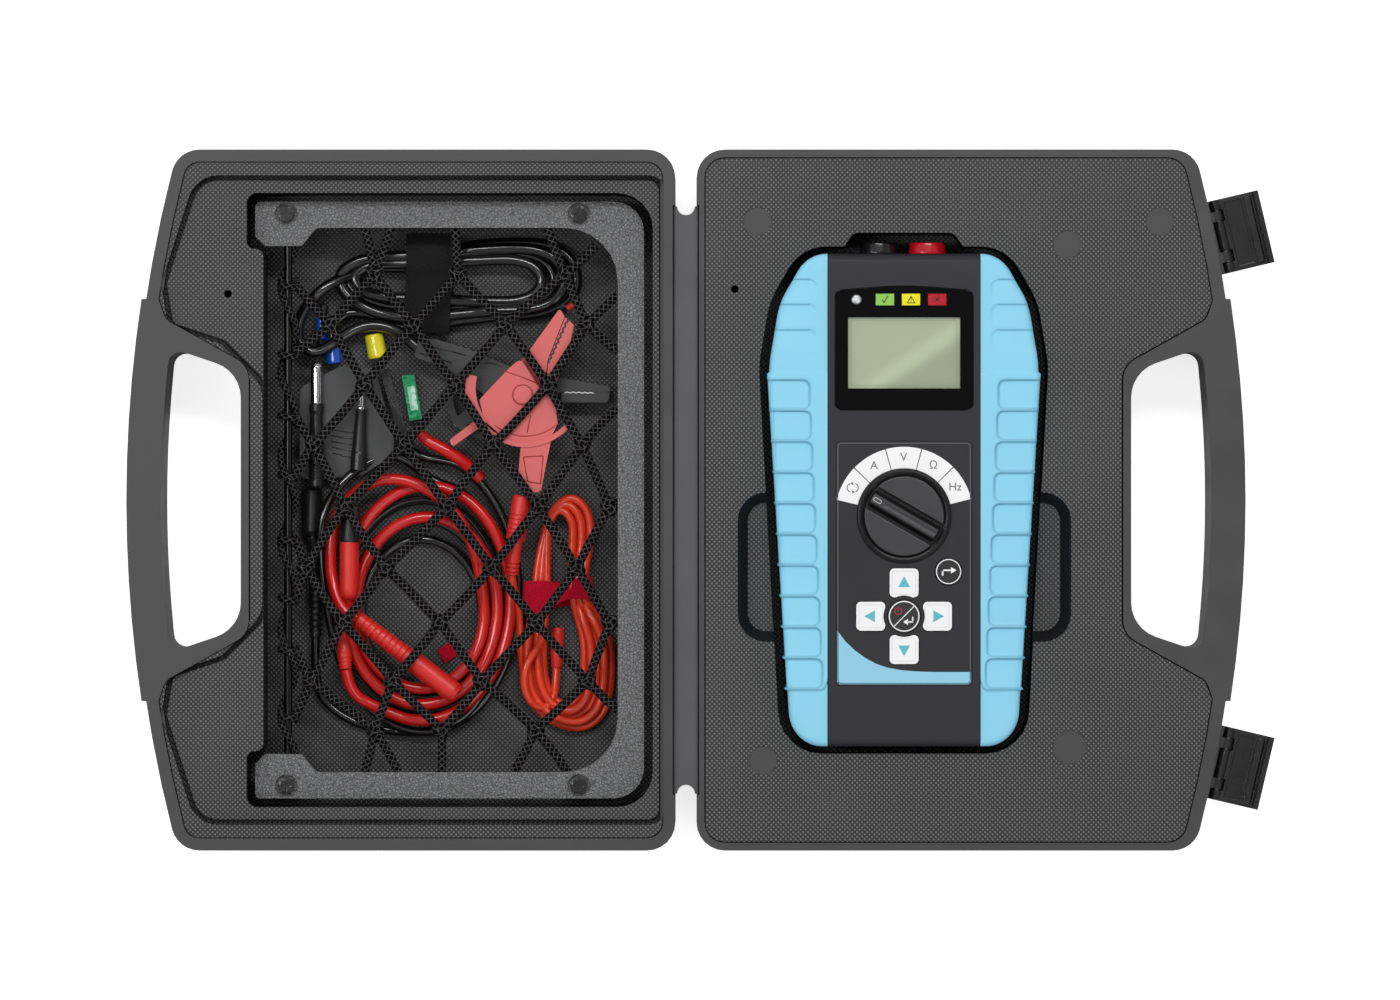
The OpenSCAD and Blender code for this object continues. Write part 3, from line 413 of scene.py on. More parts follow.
def finish_piece(made, body, slot, look=None, hides=()):
    """Gives a piece its look, or the slot's own, the body it rides on and the nodes it stands for."""
    wear(made, look or slot)
    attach(made, body)
    if hides:
        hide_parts(*hides)
    return made


def mesh_object(name, points, faces, turns=None):
    """A mesh from points in millimetres. turns holds a pair of map coordinates for each point."""
    mesh = bpy.data.meshes.new(name)
    mesh.from_pydata([[c * MM for c in p] for p in points], [], faces)
    if turns is not None:
        layer = mesh.uv_layers.new(name="UVMap")
        for loop in mesh.loops:
            layer.data[loop.index].uv = turns[loop.vertex_index]
    mesh.validate()
    mesh.shade_smooth()
    return in_scene(name, mesh)


def soften(made, width, segments=2, angle=35):
    """Joins split corners and rounds the sharp edges by width millimetres."""
    weld = made.modifiers.new("weld", "WELD")
    weld.merge_threshold = 0.001 * MM
    edge = made.modifiers.new("bevel", "BEVEL")
    edge.width = width * MM
    edge.segments = segments
    edge.limit_method = "ANGLE"
    edge.angle_limit = math.radians(angle)
    made.data.shade_smooth()
    even = made.modifiers.new("even", "WEIGHTED_NORMAL")
    even.weight = 100
    even.keep_sharp = False
    return made


def joined(name, parts):
    """One mesh from (points, faces, turns) parts."""
    points, faces, turns = [], [], []
    for some, some_faces, some_turns in parts:
        start = len(points)
        points += some
        faces += [[start + i for i in f] for f in some_faces]
        turns += some_turns
    return mesh_object(name, points, faces, turns)


def skin(rows, size, loop=False, turn=1):
    """Faces over rows of size points, each row closed. With loop the last row joins the first, and without it
    both ends are capped. turn is -1 where the rows run the other way round."""
    faces = []
    for i in range(rows if loop else rows - 1):
        start, after = i * size, (i + 1) % rows * size
        for j in range(size):
            k = (j + 1) % size
            faces.append([start + j, start + k, after + k, after + j][::turn])
    if not loop:
        faces.append(list(range(size))[::-turn])
        faces.append([(rows - 1) * size + j for j in range(size)][::turn])
    return faces


def on_curve(a, b, c, d, t):
    """The point and the slope at t, from b to c, of a smooth curve through a, b, c and d."""
    square, cube = 2 * a - 5 * b + 4 * c - d, 3 * b - a - 3 * c + d
    point = 0.5 * (2 * b + (c - a) * t + square * t * t + cube * t ** 3)
    return point, 0.5 * (c - a + 2 * square * t + 3 * cube * t * t)


def smooth_path(corners, step):
    """Points about step apart on a smooth curve through the corners."""
    corners = [Vector(c) for c in corners]
    ends = [2 * corners[0] - corners[1]] + corners + [2 * corners[-1] - corners[-2]]
    found = []
    for a, b, c, d in zip(ends, ends[1:], ends[2:], ends[3:]):
        pieces = max(1, round((c - b).length / step))
        found += [on_curve(a, b, c, d, j / pieces)[0] for j in range(pieces)]
    return found + [corners[-1]]


def straight(p, q, step):
    p, q = Vector(p), Vector(q)
    count = max(2, round((q - p).length / step))
    return [p.lerp(q, i / count) for i in range(count + 1)]


def stepped(shape):
    """A radius as a function of the length. shape is a number, (length, radius) pairs or such a function."""
    if callable(shape):
        return shape
    pairs = [(0, shape)] if isinstance(shape, (int, float)) else shape

    def radius(run):
        for (l0, r0), (l1, r1) in zip(pairs, pairs[1:]):
            if run <= l1:
                return r0 + (r1 - r0) * max(0.0, run - l0) / max(l1 - l0, 1e-6)
        return pairs[-1][1]
    return radius


def rings(shape, depth, pitch, start, stop, share=0.55):
    """A radius with a groove every pitch, between start and stop. A share of the pitch is left plain."""
    base = stepped(shape)

    def radius(run):
        t = ((run - start) % pitch) / pitch
        if not start <= run <= stop or t <= share:
            return base(run)
        return base(run) - depth * math.sin(math.pi * (t - share) / (1 - share))
    return radius


def tube(points, shape, sides, wave=None):
    """A closed tube along the points. wave gives the part of the radius to add at a length and an angle."""
    radius = stepped(shape)
    found, faces, turns = [], [], []
    run = 0.0
    side = (points[1] - points[0]).normalized().orthogonal().normalized()
    for i, p in enumerate(points):
        if i:
            run += (p - points[i - 1]).length
        ahead = (points[min(i + 1, len(points) - 1)] - points[max(i - 1, 0)]).normalized()
        side = (side - ahead * side.dot(ahead)).normalized()
        other = ahead.cross(side)
        r = radius(run)
        for j in range(sides + 1):
            a = 2 * math.pi * j / sides
            size = r * (1 + (wave(run, a) if wave else 0))
            found.append(p + (side * math.cos(a) + other * math.sin(a)) * size)
            turns.append((j / sides, run))
    across = sides + 1
    last = (len(points) - 1) * across
    for start in range(0, last, across):
        for k in range(start, start + sides):
            faces.append([k, k + across, k + across + 1, k + 1])
    for first, p, v, turn in ((0, points[0], 0.0, 1), (last, points[-1], run, -1)):
        centre = len(found)
        found.append(p)
        turns.append((0.5, v))
        faces += [[centre, first + j, first + j + 1][::turn] for j in range(sides)]
    return found, faces, turns


def mesh_of(curve, x, y, z):
    """A curve or a text as a mesh, moved by x, y and z millimetres."""
    holder = in_scene("outline", curve)
    bpy.context.view_layer.update()
    mesh = bpy.data.meshes.new_from_object(holder.evaluated_get(bpy.context.evaluated_depsgraph_get()))
    bpy.data.objects.remove(holder)
    bpy.data.curves.remove(curve)
    mesh.transform(Matrix.Translation((x * MM, y * MM, z * MM)))
    return mesh


def flat_mesh(loops, z0, z1):
    """A flat plate between z0 and z1. The loops after the first one are holes."""
    curve = bpy.data.curves.new("outline", "CURVE")
    curve.dimensions = "2D"
    curve.fill_mode = "BOTH"
    curve.extrude = (z1 - z0) / 2 * MM
    for loop in loops:
        spline = curve.splines.new("POLY")
        spline.points.add(len(loop) - 1)
        for point, (x, y) in zip(spline.points, loop):
            point.co = (x * MM, y * MM, 0, 1)
        spline.use_cyclic_u = True
    return mesh_of(curve, 0, 0, (z0 + z1) / 2)


def plate(name, outline, z0, z1):
    mesh = flat_mesh([outline], z0, z1)
    mesh.name = name
    return in_scene(name, mesh)


def arc(x, y, r, a0, a1, count=24):
    """Points on an arc from a0 to a1 degrees."""
    angles = [math.radians(a0 + (a1 - a0) * i / count) for i in range(count + 1)]
    return [(x + r * math.cos(a), y + r * math.sin(a)) for a in angles]


def circle(x, y, r, count=48):
    return arc(x, y, r, 0, 360, count)[:-1]


def sector(x, y, r0, r1, a0, a1, count=16):
    return arc(x, y, r1, a0, a1, count) + arc(x, y, r0, a0, a1, count)[::-1]


def turned(points, x, y, degrees=0):
    """Points turned about the origin and moved to x, y."""
    c, s = math.cos(math.radians(degrees)), math.sin(math.radians(degrees))
    return [(x + px * c - py * s, y + px * s + py * c) for px, py in points]


def bar(p, q, width):
    """The outline of a straight line of that width."""
    p, q = Vector(p), Vector(q)
    n = (q - p).orthogonal().normalized() * width / 2
    return [tuple(v) for v in (p + n, p - n, q - n, q + n)]


def rounded_box(x0, x1, y0, y1, r):
    corners = ((x1 - r, y1 - r, 0), (x0 + r, y1 - r, 90), (x0 + r, y0 + r, 180), (x1 - r, y0 + r, 270))
    return [p for x, y, a in corners for p in arc(x, y, r, a, a + 90, 6)]


# ---- case ----

EDGES = {
    "base_shell": 0.7, "lid_shell": 0.7, "base_tray": 0.5, "lid_tray": 0.6, "hinge_strip": 0.9,
    "latch_top": 0.35, "latch_bottom": 0.35, "latch_pins": 0.15, "net_frame": 1.4, "net_rod": 0.3,
    "frame_screws": 0.2, "housing_front": 0.45, "housing_rear": 0.5, "display_window": 0.15,
    "overlay_panel": 0.12, "key_up": 0.5, "key_down": 0.5, "key_left": 0.5,
    "key_right": 0.5, "key_enter": 0.5, "key_shift": 0.4, "socket_black": 0.25, "socket_red": 0.25,
    "torch_led": 0, "indicator_green": 0.1, "indicator_yellow": 0.1, "indicator_red": 0.1,
    "battery_door": 0.3, "housing_screws": 0.1, "lcd_module": 0.05, "clip_red_arm": 0.9,
    "clip_red_jaw": 0.8, "clip_black_arm": 0.7, "clip_black_jaw": 0.7, "clip_rivets": 0.3,
    "adaptor_block": 1.0, "fuse_holder": 0.5, "fuse_green": 0.4, "batteries": 0.4,
    "battery_contacts": 0, "circuit_board": 0, "rotary_switch": 0.3, "keypad_mat": 0.2,
    "socket_contacts": 0.1,
}
SLOT_OF = {part["node"]: part["material_slot"] for part in frame["record"]["subparts"]}
for part, edge in EDGES.items():
    look = "clip_red" if part == "clip_rivets" else SLOT_OF[part]
    if look not in looks:
        base = next(m for m in frame["record"]["materials"] if m["slot"] == look)
        metal = 1.0 if base["class"] in ("brushed_steel", "brass", "chrome") else 0.0
        looks[look] = plastic(look, base["base_color"], 0.4, grain=0.6, metal=metal)
    wear(nodes[part], look)
    if edge:
        soften(nodes[part], edge)

# ---- tester's boots ----

BOOT_IN = 29.65
BOOT_CORNERS = [(BOOT_IN, -95.4, 0), (45, -95.4, 14), (53.2, 52, 40), (49.2, 76, 30), (38, 95.4, 14),
                (BOOT_IN, 95.4, 0)]
EDGE_R = 2.6
CELLS, CELL_PITCH, CELL_LOW, CELL_TALL = 10, 12, 35.3, 11.1
CELL_LEFT, CELL_SHIFT, CELL_R, CELL_DEPTH = 36.6, 0.55, 2.6, 1.05
GRIP_TOP_Y, GRIP_END_Y = 49.3, -73.6
STEP_TOPS = (85.4, 75.7, 65.8)
CREASE_WIDTH = 0.38
ROW_STEP = 0.42
FLAT_COLUMNS, ROUND_COLUMNS, WALL_ROWS = 34, 25, 12


def filleted(corners):
    """An open outline whose inner corners (x, y, radius) are rounded."""
    found = [Vector(corners[0][:2])]
    for a, b, c in zip(corners, corners[1:], corners[2:]):
        p, r = Vector(b[:2]), b[2]
        v, w = (Vector(a[:2]) - p).normalized(), (Vector(c[:2]) - p).normalized()
        half = math.acos(max(-1, min(1, v.dot(w)))) / 2
        centre = p + (v + w).normalized() * r / math.sin(half)
        start, stop = p + v * r / math.tan(half) - centre, p + w * r / math.tan(half) - centre
        a0 = math.degrees(math.atan2(start.y, start.x))
        turn = (math.degrees(math.atan2(stop.y, stop.x)) - a0 + 180) % 360 - 180
        found += [Vector(q) for q in arc(*centre, r, a0, a0 + turn, 14)]
    return found + [Vector(corners[-1][:2])]


def even_points(points, step):
    """Points step apart along a polyline."""
    found, left = [points[0]], step
    for a, b in zip(points, points[1:]):
        long = (b - a).length
        at = left
        while at < long:
            found.append(a.lerp(b, at / long))
            at += step
        left = at - long
    return found + [points[-1]]


def ramp(value, soft=0.35):
    """Rises smoothly from 0 to 1 where value passes 0, over the length soft."""
    t = np.clip(value / soft + 0.5, 0, 1)
    return t * t * (3 - 2 * t)


def in_cell(i, x, y):
    """How far x, y is inside cell i of the grip, and how far up it, in cells."""
    left, low = CELL_LEFT - CELL_SHIFT * i, CELL_LOW - CELL_PITCH * i
    off_x = np.maximum(left + CELL_R - x, 0)
    off_y = np.maximum(np.abs(y - low - CELL_TALL / 2) - CELL_TALL / 2 + CELL_R, 0)
    return CELL_R - np.hypot(off_x, off_y), (y - low) / CELL_TALL


def grip_end(x):
    """The curved line across the boot at which the grip ends."""
    return GRIP_END_Y + 3.4 * np.clip((31.9 - x) / 2.2, 0, 1) ** 2


def boot_relief(x, y, deep):
    """How far the rubber is sunk at x, y, where deep is the distance in from the outer edge."""
    sunk = np.zeros_like(x)
    for i in range(CELLS):
        inside, up = in_cell(i, x, y)
        slope = (0.4 + 0.6 * np.clip(up, 0, 1)) * ramp(up * CELL_TALL - 0.4, 1.6)
        lip = ramp(deep - 1.5 + 0.09 * i)
        sunk = np.maximum(sunk, CELL_DEPTH * slope * ramp(inside, 0.5) * lip)
    for top in STEP_TOPS:
        inner = x - 34 - 2.2 * np.clip((y - top + 2.2) / 2.2, 0, 1) ** 2
        fade = np.clip(1 - (top - y) / 8.5, 0, 1)
        sunk = np.maximum(sunk, 0.8 * ramp(top - y) * fade * ramp(inner, 1.2))
    return sunk + 0.6 * ramp(y - GRIP_TOP_Y, 0.5) + 0.7 * ramp(grip_end(x) - y, 0.5)


def boot_creases(x, y):
    """How much painted shade falls on the outlines of the grip's cells and steps, most at each cell's top
    edge: up to 1 on them, and 0 away from them.
    """
    found = 0.8 * np.exp(-((y - grip_end(x)) / CREASE_WIDTH) ** 2)
    for i in range(CELLS):
        inside, up = in_cell(i, x, y)
        line = np.exp(-(inside / CREASE_WIDTH) ** 2)
        found = np.maximum(found, (0.6 + 0.4 * np.clip(up, 0, 1)) * line)
    for top in STEP_TOPS:
        found = np.maximum(found, 0.7 * np.exp(-((top - y) / 0.35) ** 2) * ramp(x - 36.2, 1.2))
    return found


def edge_inset(y):
    """How far the outer edge stands in at y: between the ribs' ends, and past the grip at both ends."""
    inset = 0.9 * ramp(y - GRIP_TOP_Y, 0.5) + 1.1 * ramp(GRIP_END_Y - y, 0.5)
    for i in range(CELLS):
        low = CELL_LOW - CELL_PITCH * i
        notch = ramp(y - low, 0.6) * ramp(low + CELL_TALL - y, 0.4)
        inset = np.maximum(inset, (0.12 + 0.08 * i) * notch)
    return inset


def boot(side):
    """One rubber boot: front and back faces, rounded edges and the ribbed side, in rows along the outline."""
    rim = [p for p in even_points(filleted(BOOT_CORNERS), ROW_STEP) if p.x > BOOT_IN + 0.01]
    line = np.array([[p.x, p.y] for p in rim])
    tangent = np.gradient(line, axis=0)
    normal = np.stack([tangent[:, 1], -tangent[:, 0]], axis=1)
    normal /= np.linalg.norm(normal, axis=1)[:, None]
    line[:, 0] -= edge_inset(line[:, 1]) * np.abs(normal[:, 0])
    rounded = 0.8 + 0.2 * np.sin(np.linspace(0, np.pi / 2, ROUND_COLUMNS + 1)[1:])
    columns = np.concatenate([np.linspace(0, 0.8, FLAT_COLUMNS), rounded])
    gx = BOOT_IN + (line[:, :1] - BOOT_IN) * columns[None, :]
    gy = np.repeat(line[:, 1:], len(columns), axis=1)
    deep = np.full(gx.shape, 1e9)
    for a, b in zip(line, line[1:]):
        near = np.abs(gy[:, 0] - a[1]) < 12
        px, py = gx[near] - a[0], gy[near] - a[1]
        ux, uy = b - a
        t = np.clip((px * ux + py * uy) / (ux * ux + uy * uy), 0, 1)
        deep[near] = np.minimum(deep[near], np.hypot(px - t * ux, py - t * uy))
    fall = EDGE_R - np.sqrt(np.maximum(EDGE_R ** 2 - np.maximum(EDGE_R - deep, 0) ** 2, 0))
    crown = 0.6 * np.clip((gx - 36) / 16, 0, 1) ** 2
    sunk = boot_relief(gx, gy, deep)
    # Painted shade for the creases, kept on the mesh for the rubber's look.
    dark = boot_creases(gx, gy)
    rows, across = gx.shape
    half = (FRONT_Z - BACK_Z) / 2
    middle = (FRONT_Z + BACK_Z) / 2
    plain = half - fall - crown
    points, shades = [], []
    for i in range(rows):
        front = [(gx[i, j], gy[i, j], plain[i, j] - sunk[i, j]) for j in range(across)]
        notch = float(boot_relief(np.array([51.0]), line[i:i + 1, 1], np.array([9.0]))[0])
        wall = []
        for k in range(1, WALL_ROWS):
            t = k / WALL_ROWS
            px, py = line[i] - normal[i] * (notch * math.sin(math.pi * t) ** 0.25 * 0.4)
            wall.append((px, py, plain[i, -1] * (1 - 2 * t)))
        back = [(gx[i, j], gy[i, j], -plain[i, j]) for j in reversed(range(across))]
        row = front + wall + back
        points += [(TESTER_X + side * x, y, z + middle) for x, y, z in row]
        shades += list(dark[i]) + [0.0] * (len(row) - across)
    made = mesh_object("boot", points, skin(rows, len(points) // rows, turn=side))
    marks = made.data.attributes.new("crease", "FLOAT", "POINT")
    marks.data.foreach_set("value", shades)
    return soften(made, 0.15, 1, 60)


for side, node in ((-1, "boot_left"), (1, "boot_right")):
    made = boot(side)
    made.name = "rubber_" + node
    finish_piece(made, "tester", "boot_rubber", hides=[node])

# ---- tester's print ----

PRINT = 0.06
SUNK = 0.02


def printed(name, outlines, look, z, body="tester", holes=(), slot="overlay_film"):
    """Flat shapes in the tester's axes, on a face at height z. holes has a list of loops for each shape."""
    points, faces = [], []
    for outline, inner in zip(outlines, list(holes) + [[]] * len(outlines)):
        mesh = flat_mesh([outline, *inner], z, z + PRINT)
        start = len(points)
        points += [(v.co.x / MM + TESTER_X, v.co.y / MM, v.co.z / MM) for v in mesh.vertices]
        faces += [[start + i for i in p.vertices] for p in mesh.polygons]
        bpy.data.meshes.remove(mesh)
    made = mesh_object(name, points, faces)
    made.data.shade_flat()
    finish_piece(made, body, slot, look)


def letters(name, text, x, y, size, look, z):
    """A unit's symbol, centred at x, y."""
    curve = bpy.data.curves.new(name, "FONT")
    curve.body = text
    curve.size = size * MM
    curve.extrude = PRINT / 2 * MM
    curve.align_x = "CENTER"
    curve.align_y = "CENTER"
    mesh = mesh_of(curve, TESTER_X + x, y, z + PRINT / 2)
    finish_piece(in_scene(name, mesh), "tester", "overlay_film", look)


DIAL_IN, DIAL_OUT, SYMBOL_R = 18.5, 26.8, 22.7
DIAL_FROM, DIAL_TO, DIAL_STEPS = 14.4, 166.4, 5
DIAL_GAP = 0.45
step = (DIAL_TO - DIAL_FROM) / DIAL_STEPS
fields = []
for i in range(DIAL_STEPS):
    first = DIAL_FROM + i * step + (DIAL_GAP if i else 0)
    last = DIAL_FROM + (i + 1) * step - (DIAL_GAP if i < DIAL_STEPS - 1 else 0)
    fields.append(sector(0, KNOB_Y, DIAL_IN, DIAL_OUT, first, last))
printed("dial_fields", fields, "print_white", FRONT_Z)
for i, symbol in enumerate(["Hz", "Ω", "V", "A"]):
    a = math.radians(DIAL_FROM + (i + 0.5) * step)
    letters("symbol_" + "hova"[i], symbol, SYMBOL_R * math.cos(a), KNOB_Y + SYMBOL_R * math.sin(a), 4.4,
            "print_grey", FRONT_Z + PRINT)

a = math.radians(DIAL_TO - step / 2)
symbol_at = (SYMBOL_R * math.cos(a), KNOB_Y + SYMBOL_R * math.sin(a))
halves = []
for turn in (0, 180):
    halves.append(turned(sector(0.55, 0, 1.45, 1.8, -75, 75, 10), *symbol_at, turn))
    halves.append(turned([(0.2, 1.0), (0.2, 2.3), (-0.8, 1.65)], *symbol_at, turn))
printed("symbol_cycle", halves, "print_grey", FRONT_Z + PRINT)

overlay_low, overlay_high = box_mm("overlay_panel")
half_x, low_y, top_y = 25.75, overlay_low.y + 0.55, overlay_high.y - 0.55
border = rounded_box(-half_x, half_x, low_y, top_y, 1.4)
inner = rounded_box(-half_x + 0.3, half_x - 0.3, low_y + 0.3, top_y - 0.3, 1.2)
printed("overlay_line", [border], "print_grey", FRONT_Z, holes=[[inner]])
sweep = [(-25.9, -50.2), (-22.6, -54.6), (-18.8, -58.2), (-14.9, -61.0), (-10.9, -63.2), (-6.5, -64.7),
         (-1, -65.7), (5, -66.2), (12, -66.4), (25.9, -66.4)]
foot = [(25.9, -70.4), (25.0, -71.4), (-25.0, -71.4), (-25.9, -70.4)]
printed("swoosh", [sweep + foot], "print_blue", FRONT_Z)
edge = [bar(p, q, 0.35) for p, q in zip(sweep, sweep[1:])]
printed("swoosh_line", edge, "print_black", FRONT_Z + PRINT * 0.6)

# ---- knob ----

KNOB_TURN = 150
KNOB_LOW, GRIP_TOP = box_mm("selector_knob")[0].z, top_of("selector_knob")
DISC_R = 15.35
DISC_TOP, RIM_TOP, RIM_LOW = GRIP_TOP - 3.6, GRIP_TOP - 5.0, GRIP_TOP - 6.2
TRENCH_IN, TRENCH_OUT, TRENCH_DEPTH = 3.3, 4.7, 1.0
RIDGE, GRIP_R = 1.3, 14.5


def knob_height(u, v):
    """Height of the knob's face: two half discs, a trench on both sides of the grip, and its two ridges."""
    a, r = abs(v), math.hypot(u, v)
    floor = DISC_TOP - TRENCH_DEPTH * (1 - float(ramp(a - TRENCH_OUT, 0.5)))
    dip = 0.35 * max(0.0, 1 - (a / 1.1) ** 2) * (1 - float(ramp(u - 9.2, 1.0)))
    side = min(1.0, max(0.0, (a - RIDGE) / (TRENCH_IN - RIDGE)))
    tall = GRIP_TOP - DISC_TOP + TRENCH_DEPTH - dip
    grip = DISC_TOP - TRENCH_DEPTH + tall * (1 - side ** 1.6) * (1 - float(ramp(r - GRIP_R, 0.6)))
    edge = max(0.0, r - DISC_R + 0.4)
    return max(floor, grip) - edge ** 2 * 1.8


def lathe(profile, x, y, count=96):
    """A closed ring round x, y, from its section's (radius, z) points."""
    found = []
    for i in range(count):
        a = 2 * math.pi * i / count
        found += [Vector((x + r * math.cos(a), y + r * math.sin(a), z)) for r, z in profile]
    return found, skin(count, len(profile), loop=True, turn=-1), [(0, 0)] * len(found)


def knob_disc(x, y, rows=151, across=61):
    """The knob's face as rows across the grip, closed below."""
    found = []
    for row in range(rows):
        v = (-1 + 2 * row / (rows - 1)) * (DISC_R - 0.02)
        wide = math.sqrt(DISC_R ** 2 - v * v)
        line = []
        for i in range(across):
            u = wide * math.sin(math.pi * (i / (across - 1) - 0.5))
            line.append((u, v, knob_height(u, v)))
        line += [(wide, v, RIM_LOW + 0.4), (-wide, v, RIM_LOW + 0.4)]
        flat = turned([(u, v) for u, v, _ in line], x, y, KNOB_TURN)
        found += [Vector((*p, z)) for p, (_, _, z) in zip(flat, line)]
    return found, skin(rows, across + 2), [(0, 0)] * len(found)


skirt = [(15.2, RIM_LOW), (18.3, RIM_LOW), (18.3, RIM_LOW + 0.5), (18.1, RIM_LOW + 0.9), (17.6, RIM_TOP),
         (16.5, RIM_TOP), (16.1, RIM_TOP - 0.5), (15.2, RIM_TOP - 0.5)]
stem = straight((KNOB_X, KNOB_Y, KNOB_LOW), (KNOB_X, KNOB_Y, RIM_LOW + 0.6), 2)
knob = joined("dial_knob", [knob_disc(KNOB_X, KNOB_Y), lathe(skirt, KNOB_X, KNOB_Y), tube(stem, 3.5, 32)])
finish_piece(knob, "knob", "knob_plastic", hides=["selector_knob"])
knob.data.materials.append(looks["knob_face"].material)
# Faces on the disc halves and on the grip's top take the lighter face colour; on the grip's top it is a
# painted highlight.
for face in knob.data.polygons:
    off = Vector((face.center.x / MM - KNOB_X, face.center.y / MM - KNOB_Y, 0))
    aside = (Matrix.Rotation(math.radians(-KNOB_TURN), 3, "Z") @ off).y
    height = face.center.z / MM
    on_disc = abs(aside) > TRENCH_OUT + 0.1 and off.length < DISC_R - 0.1 and height > RIM_TOP + 0.5
    if on_disc or height > GRIP_TOP - 1.1:
        face.material_index = 1
soften(knob, 0.05, 1, 60)
# A thin light line along the grip's lower trench edge: a painted highlight.
edge_highlight = turned(bar((-12.6, TRENCH_OUT + 0.35), (12.6, TRENCH_OUT + 0.35), 0.2), 0, KNOB_Y, KNOB_TURN)
printed("knob_edge_highlight", [edge_highlight], "print_grey", DISC_TOP - SUNK, "knob", slot="knob_plastic")
mark_at = turned([(12.0, 0)], 0, KNOB_Y, KNOB_TURN)[0]
mark = turned(rounded_box(-1.7, 1.7, -0.75, 0.75, 0.74), *mark_at, KNOB_TURN)
hole = turned(rounded_box(-1.5, 1.5, -0.55, 0.55, 0.54), *mark_at, KNOB_TURN)
printed("knob_mark", [mark], "print_faint", GRIP_TOP - SUNK, "knob", holes=[[hole]], slot="knob_plastic")

# ---- keys ----

KEY_PITCH = 12.9
KEY_FACE = KEY_TOP - 0.01
for name, turn in (("key_right", 0), ("key_up", 90), ("key_left", 180), ("key_down", 270)):
    x, y = turned([(KEY_PITCH, 0)], 0, KEYS_Y, turn)[0]
    arrow = turned([(-1.6, -2.3), (2.6, 0), (-1.6, 2.3)], x, y, turn)
    printed(name + "_arrow", [arrow], "print_teal", KEY_FACE, name, slot="key_white")
    line, hole = [[p for p in rounded_box(x - half, x + half, y - half, y + half, corner)
                   if math.hypot(p[0], p[1] - KEYS_Y) > clear]
                  for half, corner, clear in ((4.6, 1.0, 8.9), (4.35, 0.8, 9.1))]
    printed(name + "_line", [line], "print_faint", KEY_FACE, name, holes=[[hole]], slot="key_white")


def on_key(name, shapes, x, y, look, key, holes=()):
    """Print on a black key whose middle is at x, y."""
    shapes = [turned(shape, x, y) for shape in shapes]
    holes = [[turned(hole, x, y)] for hole in holes]
    printed(name, shapes, look, KEY_FACE, key, holes, "key_black")


SHIFT_X, SHIFT_Y = 17.2, -27.7
on_key("enter_ring", [circle(0, 0, 5.95), bar((-4.0, -4.0), (4.0, 4.0), 0.32)], 0, KEYS_Y, "print_white",
       "key_enter", [circle(0, 0, 5.53)])
on_key("enter_power", [sector(-2.3, 2.0, 1.15, 1.5, 125, 415, 20), bar((-2.3, 2.1), (-2.3, 3.8), 0.36)],
       0, KEYS_Y, "print_red", "key_enter")
on_key("enter_arrow", [bar((3.3, -0.2), (3.3, -2.2), 0.5), bar((3.55, -2.2), (1.2, -2.2), 0.5),
                       [(1.5, -1.0), (1.5, -3.4), (-0.4, -2.2)]], 0, KEYS_Y, "print_white", "key_enter")
on_key("shift_mark", [circle(0, 0, 4.85), bar((-2.3, -1.6), (-2.3, 0.8), 0.6),
                      bar((-2.6, 0.5), (1.0, 0.5), 0.6), [(0.9, 1.75), (0.9, -0.75), (3.1, 0.5)]],
       SHIFT_X, SHIFT_Y, "print_white", "key_shift", [circle(0, 0, 4.49)])

# ---- window ----

lights_y = middle_of("indicator_green", Y)


def on_light(name, colour, shapes, look="print_black", holes=()):
    """Print on an indicator, with the shapes round its middle."""
    x = middle_of("indicator_" + colour, X) - TESTER_X
    shapes = [turned(shape, x, lights_y) for shape in shapes]
    holes = [[turned(hole, x, lights_y)] for hole in holes]
    printed(name, shapes, look, top_of("indicator_green"), holes=holes, slot="lens_" + colour)


on_light("mark_tick", "green",
         [bar((-1.1, -0.1), (-0.35, -1.25), 0.36), bar((-0.45, -1.3), (1.15, 1.4), 0.36)])
on_light("mark_warning", "yellow",
         [[(-1.75, -1.45), (1.75, -1.45), (0, 1.5)], bar((0, -0.35), (0, 0.75), 0.26),
          circle(0, -0.85, 0.17, 10)],
         holes=[[(-1.2, -1.15), (1.2, -1.15), (0, 0.9)]])
on_light("mark_cross", "red", [bar((-1.1, -1.1), (1.1, 1.1), 0.55), bar((-1.1, 1.1), (1.1, -1.1), 0.55)],
         "print_cross")
lcd_low, lcd_high = box_mm("lcd_module")
loops = []
for x, y in ((1.5, 1.3), (1.72, 1.52)):
    x0, x1 = lcd_low.x - TESTER_X + x, lcd_high.x - TESTER_X - x
    y0, y1 = lcd_low.y + y, lcd_high.y - y
    loops.append([(x0, y0), (x1, y0), (x1, y1), (x0, y1)])
printed("display_line", loops[:1], "print_lcd", lcd_high.z, holes=[loops[1:]], slot="lcd")

# ---- leads ----

SMOOTH_PASSES = 10
COIL_POINTS = 30


